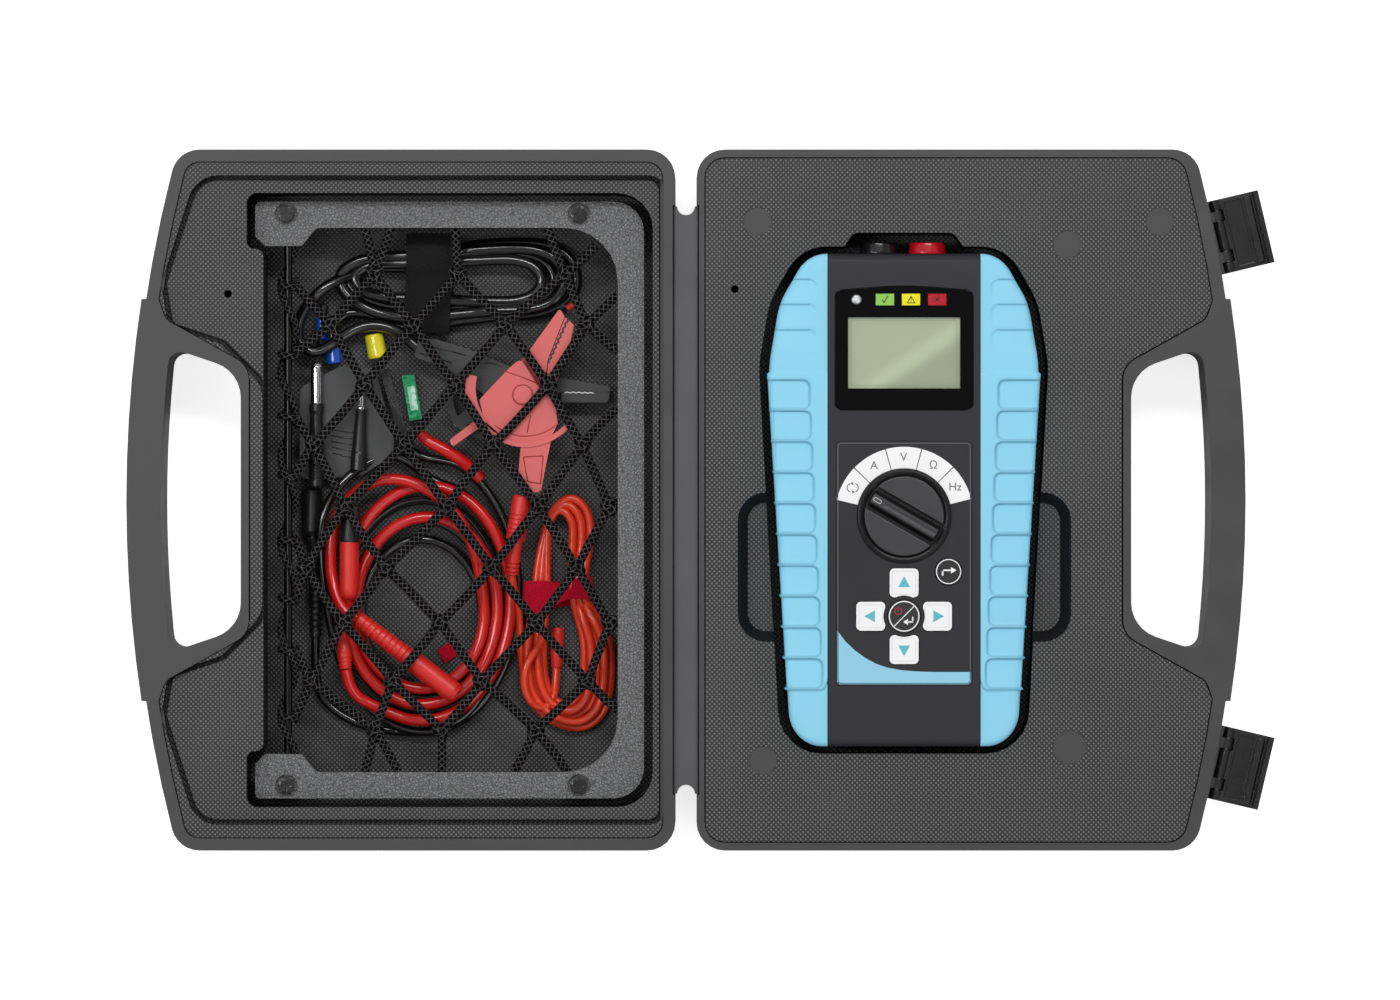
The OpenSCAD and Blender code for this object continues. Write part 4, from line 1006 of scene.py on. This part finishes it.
def lead(name, corners, diameter, look, hides=()):
    """A free lead through the corners. It measures the lead's length, which nothing uses."""
    points = smooth_path(corners, 1.2)
    for _ in range(SMOOTH_PASSES):
        middle = [(a + 2 * b + c) / 4 for a, b, c in zip(points, points[1:], points[2:])]
        points = points[:1] + middle + points[-1:]
    curve = bpy.data.curves.new(name, "CURVE")
    curve.dimensions = "3D"
    curve.bevel_depth = diameter / 2 * MM
    curve.bevel_resolution = 7
    curve.use_fill_caps = True
    spline = curve.splines.new("POLY")
    spline.points.add(len(points) - 1)
    for point, p in zip(spline.points, points):
        point.co = (*(p * MM), 1)
    spline.use_smooth = True
    made = finish_piece(in_scene(name, curve), "lid", look, hides=hides)
    length = sum((b - a).length for a, b in zip(points, points[1:]))
    points[0] * MM


def rod_piece(name, look, *rods, hides=()):
    """One piece made of round rods, each with its corners, the step between its points, and its radius."""
    tubes = []
    for corners, step, shape in rods:
        points = straight(*corners, step) if len(corners) == 2 else smooth_path(corners, step)
        tubes.append(tube(points, shape, 28))
    finish_piece(joined(name, tubes), "lid", look, hides=hides)


def coil_turns(outer, inner, start, turns, z, back=False):
    """Points of a flat coil between two ellipses, each (x, y, half width, half height)."""
    whole = round(turns * COIL_POINTS)
    found = []
    for i in range(whole + 1):
        f = 1 - i / whole if back else i / whole
        a = math.radians(start) + 2 * math.pi * turns * i / whole
        x, y, w, h = (o + (n - o) * f for o, n in zip(outer, inner))
        found.append((x + w * math.cos(a), y + h * math.sin(a), z))
    return found


def hank_turns(outer, inner, first, last, turns, heights, crossing):
    """Points of a hank's turns between two loops, each change from one turn to the next at the crossing."""
    size = len(outer)
    found = []
    turn = 0
    i = first
    while turn < turns - 1 or i % size != last:
        if i % size == crossing and i > first:
            turn += 1
        f = min(1.0, turn / (turns - 1))
        (x0, y0), (x1, y1) = outer[i % size], inner[i % size]
        found.append((x0 + (x1 - x0) * f, y0 + (y1 - y0) * f, heights[turn % len(heights)]))
        i += 1
    return found


# Plugs at the red coil's ends
rod_piece("plug_a_barrel", "plug_red",
          ([(-137.3, -16.3, 20.8), (-137.3, -38.8, 20.8)], 0.4,
           [(0, 3.85), (18.8, 3.85), (20.6, 3.6), (21.7, 3.0), (22.4, 2.0)]),
          ([(-137.4, -36, 19.5), (-138.4, -42, 16.8), (-139.4, -49, 16.6), (-139.8, -53.6, 18.2),
            (-138.9, -66, 19.2)], 0.3,
           rings([(0, 2.2), (12, 1.6), (18.4, 1.8), (24, 2.95), (27, 2.95), (32, 2.4)],
                 0.55, 1.5, 26.2, 31.6)),
          hides=["plugs_red"])
rod_piece("plug_a_sleeve", "plug_black",
          ([(-136.7, -1.8, 21), (-137.2, -16.4, 20.9)], 0.4, [(0, 3.5), (0.6, 4.0), (14, 4.1), (14.6, 4.0)]),
          hides=["plugs_black"])
start_b, end_b = Vector((-134.3, -46, 21.1)), Vector((-95.5, -75.9, 21.1))
mid_b = start_b.lerp(end_b, 0.545)
rod_piece("plug_b_grip", "plug_red",
          ([start_b, mid_b], 0.2,
           rings([(0, 2.4), (0.8, 3.1), (24, 3.75), (27, 3.75)], 0.55, 2.5, 1.2, 26, 0.8)))
rod_piece("plug_b_barrel", "plug_red",
          ([mid_b, end_b], 0.3, [(0, 3.6), (0.7, 4.2), (20.5, 4.25), (21.2, 3.9), (22.5, 3.7)]))

spiral = coil_turns((-108.4, -37.2, 35.7, 49.6), (-108.6, -44, 23.8, 28.3), 248, 2.3111, 14.5)
lead("red_coil_lead", [(-138.9, -66, 19.2), (-137.6, -71.4, 17.8), (-134, -77.4, 15.6)] + spiral
     + [(-86.2, -30, 15.5), (-90, -16, 18.6), (-97, -4, 19.2), (-106, 3.6, 19.2), (-117, 8, 19),
        (-127, 7.5, 18.6), (-135.5, 2.5, 17.4), (-141.7, -5, 16.5), (-144.3, -16, 16.5), (-144.8, -26, 17),
        (-143.2, -35, 18.4), (-140.6, -41.8, 20.6), (-137.8, -44.8, 21.3), (-134.3, -46, 21.1)],
     4.5, "lead_red",
     ["coil_red"])
rod_piece("red_coil_collar", "lead_red",
          ([(-110.5, 26.5, 14.5), (-106.5, 23, 15.5), (-100, 19.5, 15.8), (-92.5, 14.6, 14.5), (-86, 8, 13)],
           0.6, [(0, 1.6), (3, 2.4), (40, 2.25)]))

# Black plug and its long relief by the rod
rod_piece("plug_p_barrel", "plug_black",
          ([(-152.4, 4.6, 9.6), (-152.4, -14, 9.6)], 0.4, [(0, 3.6), (0.8, 4.2), (17, 4.2), (18, 3.4)]),
          ([(-152.4, -14, 9.6), (-151.4, -18, 9.2)], 0.4, 2.9))
rod_piece("plug_p_relief", "plug_black",
          ([(-151.4, -18, 9.2), (-151, -53.5, 9)], 0.25, rings([(0, 2.9), (34, 2.2)], 0.7, 2.4, 1, 34, 0.6)))
rod_piece("fuse_relief", "plug_black",
          ([(-115.2, 19.6, 11), (-116.6, 26.2, 11.5)], 0.2, rings(3.1, 0.5, 1.3, 0.4, 6.4, 0.6)))
spiral = coil_turns((-108.4, -38.6, 34.4, 46.4), (-108.6, -44, 22.6, 26.8), 0, 3.2333, 6.9, back=True)
spiral += [(-119, 17.3, 10), (-130, 14.8, 13), (-140, 7, 16.6), (-147, -4, 17.4), (-149, -16, 16.6),
           (-148.4, -28, 14), (-146.6, -40, 11)]
spiral += coil_turns((-108.6, -37.2, 37.2, 53.6), (-108.8, -36.8, 37.4, 54.4), 200, 0.6444, 9.6)
lead("black_coil_lead", [(-151, -53.5, 9), (-151, -66, 8.5), (-149, -76.5, 7.5), (-142, -83.5, 7),
                         (-130, -89, 7), (-112, -91, 8.5), (-99, -88.5, 10.45), (-89, -81, 10.45),
                         (-81.8, -67, 10.45), (-81.3, -55, 9.6)]
     + spiral + [(-108.2, 16.4, 8), (-112.9, 19, 9), (-115.6, 23, 12)], 3.6, "lead_black",
     ["coil_black"])

# Orange lead's plug on the red clip
rod_piece("clip_plug", "plug_red",
          ([(-69.4, 1.6, 21.2), (-72.5, -15.6, 21.2)], 0.2,
           rings([(0, 3.6), (1, 4.0), (14, 4.0), (17.5, 3.7)], 0.45, 1.9, 6, 17, 0.78)))
rod_piece("clip_plug_relief", "plug_red",
          ([(-72.3, -14.8, 20.9), (-73.3, -22, 20.2), (-74, -29, 19.4)], 0.2,
           rings([(0, 3.0), (6, 2.6), (9.5, 2.9), (14.3, 2.7)], 0.8, 1.75, 8.6, 14.2, 0.62)))
rod_piece("small_plug", "plug_red",
          ([(-56.6, -66, 9), (-56.1, -50, 8.6)], 0.3, [(0, 1.6), (0.6, 2.0), (5, 2.6), (14, 2.6), (15, 2.2)]))
outer_loop = [(-35.2, -70), (-36, -55), (-41.5, -45), (-45, -37), (-43.5, -25), (-41.3, -12), (-43.5, -2),
              (-50.5, 2.4), (-57.5, -3), (-62, -14), (-65, -27), (-66.4, -38), (-68.8, -50), (-70, -64),
              (-67.5, -77), (-58.6, -86.5), (-46.5, -89.3), (-38, -83)]
inner_loop = [(-48.4, -66), (-48.3, -55), (-50, -46), (-50.2, -37), (-50.6, -26), (-50.2, -16), (-50.5, -8.2),
              (-55, -3.2), (-59.6, -8.2), (-60.2, -17), (-60.3, -27), (-60.5, -38), (-60, -48), (-59.8, -60),
              (-59.2, -70), (-57, -76.6), (-52.6, -78.6), (-49.2, -73.4)]
turns = hank_turns(outer_loop, inner_loop, 13, 12, 6, [8.2, 11.6, 8.4, 11.8, 8.6, 12], 3)
lead("orange_lead", [(-74, -29, 19.4), (-73.6, -33.5, 17.8), (-72.2, -38.5, 15), (-71.3, -45, 12.4),
                     (-71, -54, 10)] + turns
     + [(-62.5, -56, 14.5), (-67.3, -62, 15.5), (-69.4, -71, 15), (-66.8, -79.2, 13.5), (-61, -81.8, 11.5),
        (-57.3, -76, 9.6), (-56.6, -66, 9)], 3.2, "lead_orange",
     ["hank_red"])

# Black hank
outer_loop = [(-48.6, 84), (-50.8, 94), (-60, 99.8), (-75, 100.7), (-92, 99.2), (-108, 97.5), (-124, 96.5),
              (-136, 94.5), (-144.4, 88.5), (-142.5, 80), (-131, 71), (-116, 67.6), (-98, 69.6), (-80, 72),
              (-63, 73), (-53, 77)]
inner_loop = [(-66, 85.5), (-69, 90), (-77, 92), (-88, 91.5), (-98, 91), (-108, 91), (-119, 91.2),
              (-129, 90.6), (-133.4, 86.6), (-129.5, 82.6), (-120, 82), (-109, 82.6), (-97, 81), (-85, 79.6),
              (-75, 79.5), (-69, 81.5)]
turns = hank_turns(outer_loop, inner_loop, 11, 8, 5, [8.6, 12.7, 8.6, 12.7, 9.4], 5)
lead("black_hank_lead", [(-144.3, 62.2, 8.4), (-144.4, 67.5, 8.5), (-139.6, 73, 8.6), (-130, 72.6, 8.6)]
     + turns + [(-139, 87.2, 12.6), (-146.5, 83.5, 15.6), (-153, 77.5, 15.5), (-157.4, 69.5, 13.8),
                (-157.4, 61.5, 13.6), (-151.8, 57.4, 13.9), (-144.4, 61, 14.2), (-136, 66.4, 13.6),
                (-128, 68.6, 13.5), (-120, 66.6, 13.3), (-114.5, 62.6, 13.1), (-111, 59.6, 13)],
     4.6, "lead_black", hides=["hank_black"])


def band(name, strap, line, widths, thick, along, steps=5):
    """A closed strap that stands for the node strap. line runs round it, as (x, z) where along is X, and as
    (y, z) where it is Y. widths gives the middle and the half width across it at each of those points."""
    corners = [Vector((p, 0, z)) for p, z in line]
    size = len(corners)
    found = []
    for i in range(size * steps):
        k, t = i // steps, i % steps / steps
        a, b, c, d = (corners[(k + j) % size] for j in (-1, 0, 1, 2))
        p, slope = on_curve(a, b, c, d, t)
        out = Vector((slope.z, 0, -slope.x)).normalized() * thick / 2
        (m0, h0), (m1, h1) = widths[k], widths[(k + 1) % size]
        middle, half = m0 + (m1 - m0) * t, h0 + (h1 - h0) * t
        for across, off in ((-1, -1), (1, -1), (1, 1), (-1, 1)):
            q, side = p + out * off, middle + half * across
            found.append((q.x, side, q.z) if along == X else (side, q.x, q.z))
    made = soften(mesh_object(name, found, skin(size * steps, 4, loop=True)), 0.25, 2, 40)
    finish_piece(made, "lid", strap, hides=[strap])


band("red_strap", "strap_red",
     [(-69.3, 9), (-69, 13.6), (-65.5, 14.9), (-61.2, 14.6), (-57.5, 12.4), (-54, 11.8), (-50.6, 13.2),
      (-47, 14.7), (-43.6, 13.6), (-42.7, 9), (-44.5, 5.6), (-56, 5.4), (-67.5, 5.6)],
     [(-38, 6), (-38, 6.2), (-38, 6.4), (-37.6, 6), (-37, 4.6), (-36, 3.4), (-35, 3.6), (-34.4, 4.4),
      (-34.2, 4.6), (-35, 4.6), (-36, 5), (-37, 5), (-38, 6)], 0.9, X)
tip = plate("red_strap_tip", [(-103.4, -59), (-100.4, -64.2), (-95.4, -60.9), (-98.2, -55.2)], 5, 6.4)
finish_piece(soften(tip, 0.3), "lid", "strap_red")
band("black_strap", "strap_black",
     [(103.8, 10), (102.8, 14.2), (98.5, 16.6), (91.5, 16), (86.5, 13.2), (82.5, 13.4), (77.5, 16.2),
      (70.5, 16.2), (66.3, 13.6), (65.3, 9.6), (68, 5.6), (84, 5.3), (101.5, 5.6)],
     [(-106, 9), (-106, 9.4), (-106, 9.4), (-106, 9.2), (-106.5, 9.2), (-106.5, 9.2), (-107, 9), (-107, 8.8),
      (-107, 8.6), (-107, 8.4), (-106.5, 8.6), (-106, 9), (-106, 9)], 1.0, Y)

# Sleeves and probes
rod_piece("blue_sleeves", "sleeve_blue",
          ([(-149, 62.8, 8.4), (-148.4, 72.8, 8.4)], 0.4, [(0, 2.0), (0.4, 2.3), (9.6, 2.2), (10, 1.9)]),
          ([(-143.6, 53.4, 8.4), (-144.4, 63.4, 8.4)], 0.4,
           [(0, 2.8), (0.4, 3.15), (6, 3.1), (9.7, 2.6), (10, 2.4)]),
          hides=["sleeves_blue"])
rod_piece("yellow_sleeve", "sleeve_yellow",
          ([(-126.6, 55.6, 9.2), (-128.2, 64.9, 9.2)], 0.4, [(0, 3.4), (0.5, 3.75), (8.9, 3.7), (9.4, 3.4)]),
          hides=["sleeve_yellow"])
rod_piece("sleeve_stub", "plug_black", ([(-148.9, 63.5, 8.4), (-148.2, 57.5, 8.2)], 0.5, 1.9),
          ([(-148.4, 72, 8.4), (-147.6, 76.5, 8.4)], 0.5, 1.7))
rod_piece("probe_grips", "probe_black",
          ([(-150.3, 5.4, 17.3), (-150.3, 37.5, 17.3)], 0.2,
           rings([(0, 3.1), (14, 3.1), (24, 2.6), (28, 2.4), (29.5, 2.9), (32.1, 2.9)], 0.35, 1.3, 2, 9)),
          ([(-133.9, 11.7, 17.3), (-132.9, 35.4, 17.3)], 0.2,
           [(0, 3.3), (6.4, 3.2), (7.0, 3.0), (18, 2.3), (21, 2.1), (23.6, 2.0)]), hides=["probe_bodies"])
rod_piece("probe_ends", "probe_metal",
          ([(-150.3, 37.5, 17.3), (-150.3, 54.55, 17.3)], 0.2,
           [(0, 2.0), (0.2, 2.35), (12.6, 2.35), (14.6, 2.25), (15.8, 1.8), (16.7, 1.0), (17.05, 0.1)]),
          ([(-132.9, 35.4, 17.3), (-132.65, 41.4, 17.3)], 0.2,
           [(0, 1.9), (0.8, 1.9), (1.1, 1.2), (4.6, 0.95), (5.4, 0.8), (6, 0.1)]), hides=["probe_tips"])

# Creases, teeth and small parts on the clips
CREASE_R = 0.22


def crease(name, lines, z, look, slot, body="lid"):
    """Thin raised lines on a face at height z, drawn as curves where they have more than three corners."""
    tubes = []
    for line in lines:
        corners = [Vector((x, y, z)) for x, y in line]
        tubes.append(tube(smooth_path(corners, 0.4) if len(line) > 3 else corners, CREASE_R, 8))
    finish_piece(joined(name, tubes), body, slot, look)


def teeth(name, p, q, reach, z, slot, pitch, look="print_black"):
    """A zigzag between two jaws."""
    p, q = Vector(p), Vector(q)
    ahead = (q - p).normalized()
    aside = Vector((-ahead.y, ahead.x)) * reach
    count = round((q - p).length / pitch)
    left = [p.lerp(q, i / count) + aside * (1.0 if i % 2 else 0.1) for i in range(count + 1)]
    right = [p.lerp(q, i / count) - aside * (0.1 if i % 2 else 1.0) for i in range(count + 1)]
    finish_piece(plate(name, left + right[::-1], z, z + 0.08), "lid", slot, look)


red_top = top_of("clip_red_arm") - 0.9
# Darker red lines for the clip's joints and grooves; in the grooves the dark is painted shade.
crease("red_clip_creases", [
    arc(-69.6, 41, 3.9, 0, 360), arc(-68.5, 43.5, 18.6, -130, -50),
    [(-77.5, 50.6), (-70.5, 48.2), (-63.6, 45.4)], [(-63.6, 45.4), (-62.2, 41.6)],
    [(-66.4, 33), (-67.8, 26.4)], [(-69.3, 16.8), (-61.6, 17.2)], [(-61.6, 17.2), (-62.6, 6.4)],
    [(-62.6, 6.4), (-67.6, 7.2)], [(-67.6, 7.2), (-69.3, 16.8)]], red_top + 0.04, "clip_crease", "clip_red")
# Dark zigzags stand for the clips' teeth, with painted shade between them.
teeth("red_clip_teeth", (-51.8, 70.8), (-59.6, 53.4), 0.75, red_top + 0.03, "clip_red", 1.15)
black_top = top_of("clip_black_jaw")
teeth("black_clip_teeth", (-53.8, 42.5), (-36.6, 42.2), 0.8, black_top + 0.01, "clip_black", 1.2)
# A light zigzag over the black clip's teeth: a painted glint.
teeth("black_clip_gleam", (-53.4, 42.1), (-42, 41.9), 0.4, black_top + 0.1, "clip_black", 1.2, "print_faint")
# Darker lines for the black clip's joints and grooves; in the grooves the dark is painted shade.
crease("black_clip_creases", [arc(-84.2, 39.4, 14.2, 66, 130), [(-92, 56.6), (-108, 60.6)],
                              [(-97.5, 53.6), (-110, 57.4)]],
       black_top + 0.02, "plug_black", "clip_black", "black_clip_jaw")
rod_piece("small_red_tip", "plug_red",
          ([(-52.4, 74.6, 16.4), (-48, 77.8, 16.6)], 0.3, [(0, 1.1), (0.3, 1.4), (5, 1.3), (5.5, 0.8)]))
# A pale plate on the green fuse: a painted highlight.
fuse_top = top_of("fuse_green")
highlight_plate = turned([(-1.5, -4.6), (1.5, -4.6), (1.5, 5.0), (-1.5, 5.0)], -112.9, 39.6, 9)
highlight_plate = plate("fuse_core", highlight_plate, fuse_top - 0.1, fuse_top + 0.25)
finish_piece(soften(highlight_plate, 0.12), "lid", "fuse_green", "fuse_core")
# Dark lines for the adaptor's engraved grooves: painted shade in them.
marks = [[(-145.4 + i * 0.3, 27.6 - 2.3 * i), (-139, 26.6 - 2.4 * i), (-133.4, 26.2 - 2.5 * i)]
         for i in range(5)]
crease("adaptor_grooves", marks, top_of("adaptor_block") - 0.05, "plug_black", "adaptor_grey")

# ---- net ----

CORD = 3.3
NET_REACH = 27
ROD_R = (box_mm("net_rod")[1].x - box_mm("net_rod")[0].x) / 2

# Knots: y of each row, and x of each knot in it
net_rows = [
    [88, [-127.1, -94.8, -53]], [68.3, [-144.3, -111.9, -76, -44.5]], [44.9, [-131, -96, -59.7]],
    [21.5, [-150.9, -115.8, -81.1, -46.4]], [-2.7, [-138.8, -99.1, -63.6, -35.6]],
    [-26.5, [-154, -122.9, -81.5, -48.4]], [-48, [-139.6, -101.8, -64, -35.6]],
    [-70.6, [-152, -120.1, -85.4, -44.1]], [-89.7, [-127.1, -101, -64.7]]]

# Cords from a knot (row, place in it) to a point on the frame or the rod
net_ends = [
    [[0, 0], [-131, 106]], [[0, 0], [-121, 106]], [[0, 1], [-95.7, 106]], [[0, 2], [-60, 106]],
    [[0, 2], [-41, 99]], [[1, 3], [-32.4, 80]], [[1, 3], [-32.4, 58]], [[3, 3], [-32.4, 36]],
    [[8, 0], [-131, -106]], [[8, 0], [-118, -106]], [[8, 1], [-101, -106]], [[8, 2], [-73, -106]],
    [[8, 2], [-52, -106]], [[7, 3], [-32.4, -82]], [[1, 0], [ROD_X, 84]], [[1, 0], [ROD_X, 57]],
    [[3, 0], [ROD_X, 33]], [[3, 0], [ROD_X, 10]], [[5, 0], [ROD_X, -15]], [[5, 0], [ROD_X, -38]],
    [[7, 0], [ROD_X, -58]], [[7, 0], [ROD_X, -84]]]


def yarns(run, angle):
    """Ribs of the braid, as a part of the radius."""
    k = 2 * math.pi * YARNS_PER_MM * run
    return 0.09 * max(math.sin(k + YARNS * angle), math.sin(k - YARNS * angle))


def strand(p, q, sag=0.5):
    """A strand that bows a little to one side and down between two points."""
    across = (q - p).orthogonal().normalized()
    bow = rng.uniform(-0.5, 0.5)
    count = max(2, round((q - p).length / 0.5))
    found = []
    for i in range(count + 1):
        t = i / count
        found.append(p.lerp(q, t) + Vector((across.x * bow, across.y * bow, -sag)) * math.sin(math.pi * t))
    return tube(found, CORD / 2, 14, yarns)


def knot_tube(centre, count=60):
    """A trefoil pulled tight, turned at random."""
    turn = Matrix.Rotation(rng.uniform(0, 2 * math.pi), 3, "Z")
    tilt = Matrix.Rotation(rng.uniform(-0.25, 0.25), 3, "X")
    found = []
    for i in range(count + 1):
        t = 2 * math.pi * i / count
        x, y = math.sin(t) + 2 * math.sin(2 * t), math.cos(t) - 2 * math.cos(2 * t)
        found.append(centre + turn @ (tilt @ (Vector((x, y, -1.1 * math.sin(3 * t))) * 0.82)))
    return tube(found, CORD / 2 * 0.9, 12, yarns)


def rod_cord(y0, y1, turns, radius):
    """A cord that winds along the rod."""
    count = round(abs(y1 - y0) / 0.5) + 24 * turns
    r = ROD_R + radius
    found = []
    for i in range(count + 1):
        a = 2 * math.pi * turns * i / count
        found.append(Vector((ROD_X + r * math.cos(a), y0 + (y1 - y0) * i / count, NET_Z + r * math.sin(a))))
    return tube(found, radius, 12, yarns)


knots = [[Vector((x, y, NET_Z)) for x in places] for y, places in net_rows]
parts = [knot_tube(knot) for row in knots for knot in row]
for row, after in zip(knots, knots[1:]):
    parts += [strand(p, q) for p in row for q in after if abs(p.x - q.x) < NET_REACH]
for (i, j), (x, y) in net_ends:
    if x > ROD_X:
        parts.append(strand(knots[i][j], Vector((x, y, NET_Z)), 0.2))
    else:
        parts.append(strand(knots[i][j], Vector((x + ROD_R + 1.2, y, NET_Z)), 0.3))
        parts.append(rod_cord(y - 1.6, y + 1.6, 1, CORD * 0.42))
parts.append(rod_cord(-100, 100, 6, CORD * 0.4))
finish_piece(joined("braided_net", parts), "lid", "net_elastic", hides=["elastic_net"])

# ---- view ----

WALL_LIGHT = 0.62
CEILING_LIGHT = 0.25
FLOOR_GLOW = 0.75
FLOOR_HALF = 3000
FLOOR_Z = -0.6

scene = bpy.context.scene
scene.view_settings.view_transform = "Standard"

eye = bpy.data.cameras.new("camera")
eye.lens = 250
eye.sensor_width = 36
camera = in_scene("camera", eye)
camera.location = (-0.0004, 0, 3.817)
scene.camera = camera

world = bpy.data.worlds.new("studio")
world.use_nodes = True
tree = world.node_tree
back = tree.nodes["Background"].inputs
wall = remap(axes(tree, "Generated")[Z], WALL_LIGHT, CEILING_LIGHT, 0.45, 0.9)
put(back["Color"], (1, 1, 1, 1))
put(back["Strength"], larger(wall, add(tree, "LightPath", out="Is Camera Ray")))
scene.world = world


def lamp(name, x, y, z, size, power, size_y=None):
    """A soft lamp that faces the object."""
    light = bpy.data.lights.new(name, "AREA")
    light.shape = "RECTANGLE"
    light.size = size
    light.size_y = size_y or size
    light.energy = power
    made = in_scene(name, light)
    made.location = (x, y, z)
    made.rotation_euler = (-Vector((x, y, z))).to_track_quat("-Z", "Y").to_euler()


lamp("key", 0.1, 0.8, 1.6, 1.2, 12, 0.14)
lamp("side", -0.85, 0.1, 1.6, 0.14, 6, 1.2)
lamp("fill", 0.6, -0.7, 1.7, 0.8, 3)

floor = Look("floor", (0.93, 0.93, 0.93), 0.9, specular=0.1)
seen = add(floor.tree, "LightPath", out="Is Camera Ray")
put(floor.surface["Emission Strength"], remap(seen, 0.0, FLOOR_GLOW, 0.0, 1.0))
put(floor.surface["Emission Color"], (1, 1, 1, 1))
corners = [(x * FLOOR_HALF, y * FLOOR_HALF, FLOOR_Z) for x, y in ((-1, -1), (1, -1), (1, 1), (-1, 1))]
ground = mesh_object("ground", corners, [[0, 1, 2, 3]])
ground.data.materials.append(floor.material)
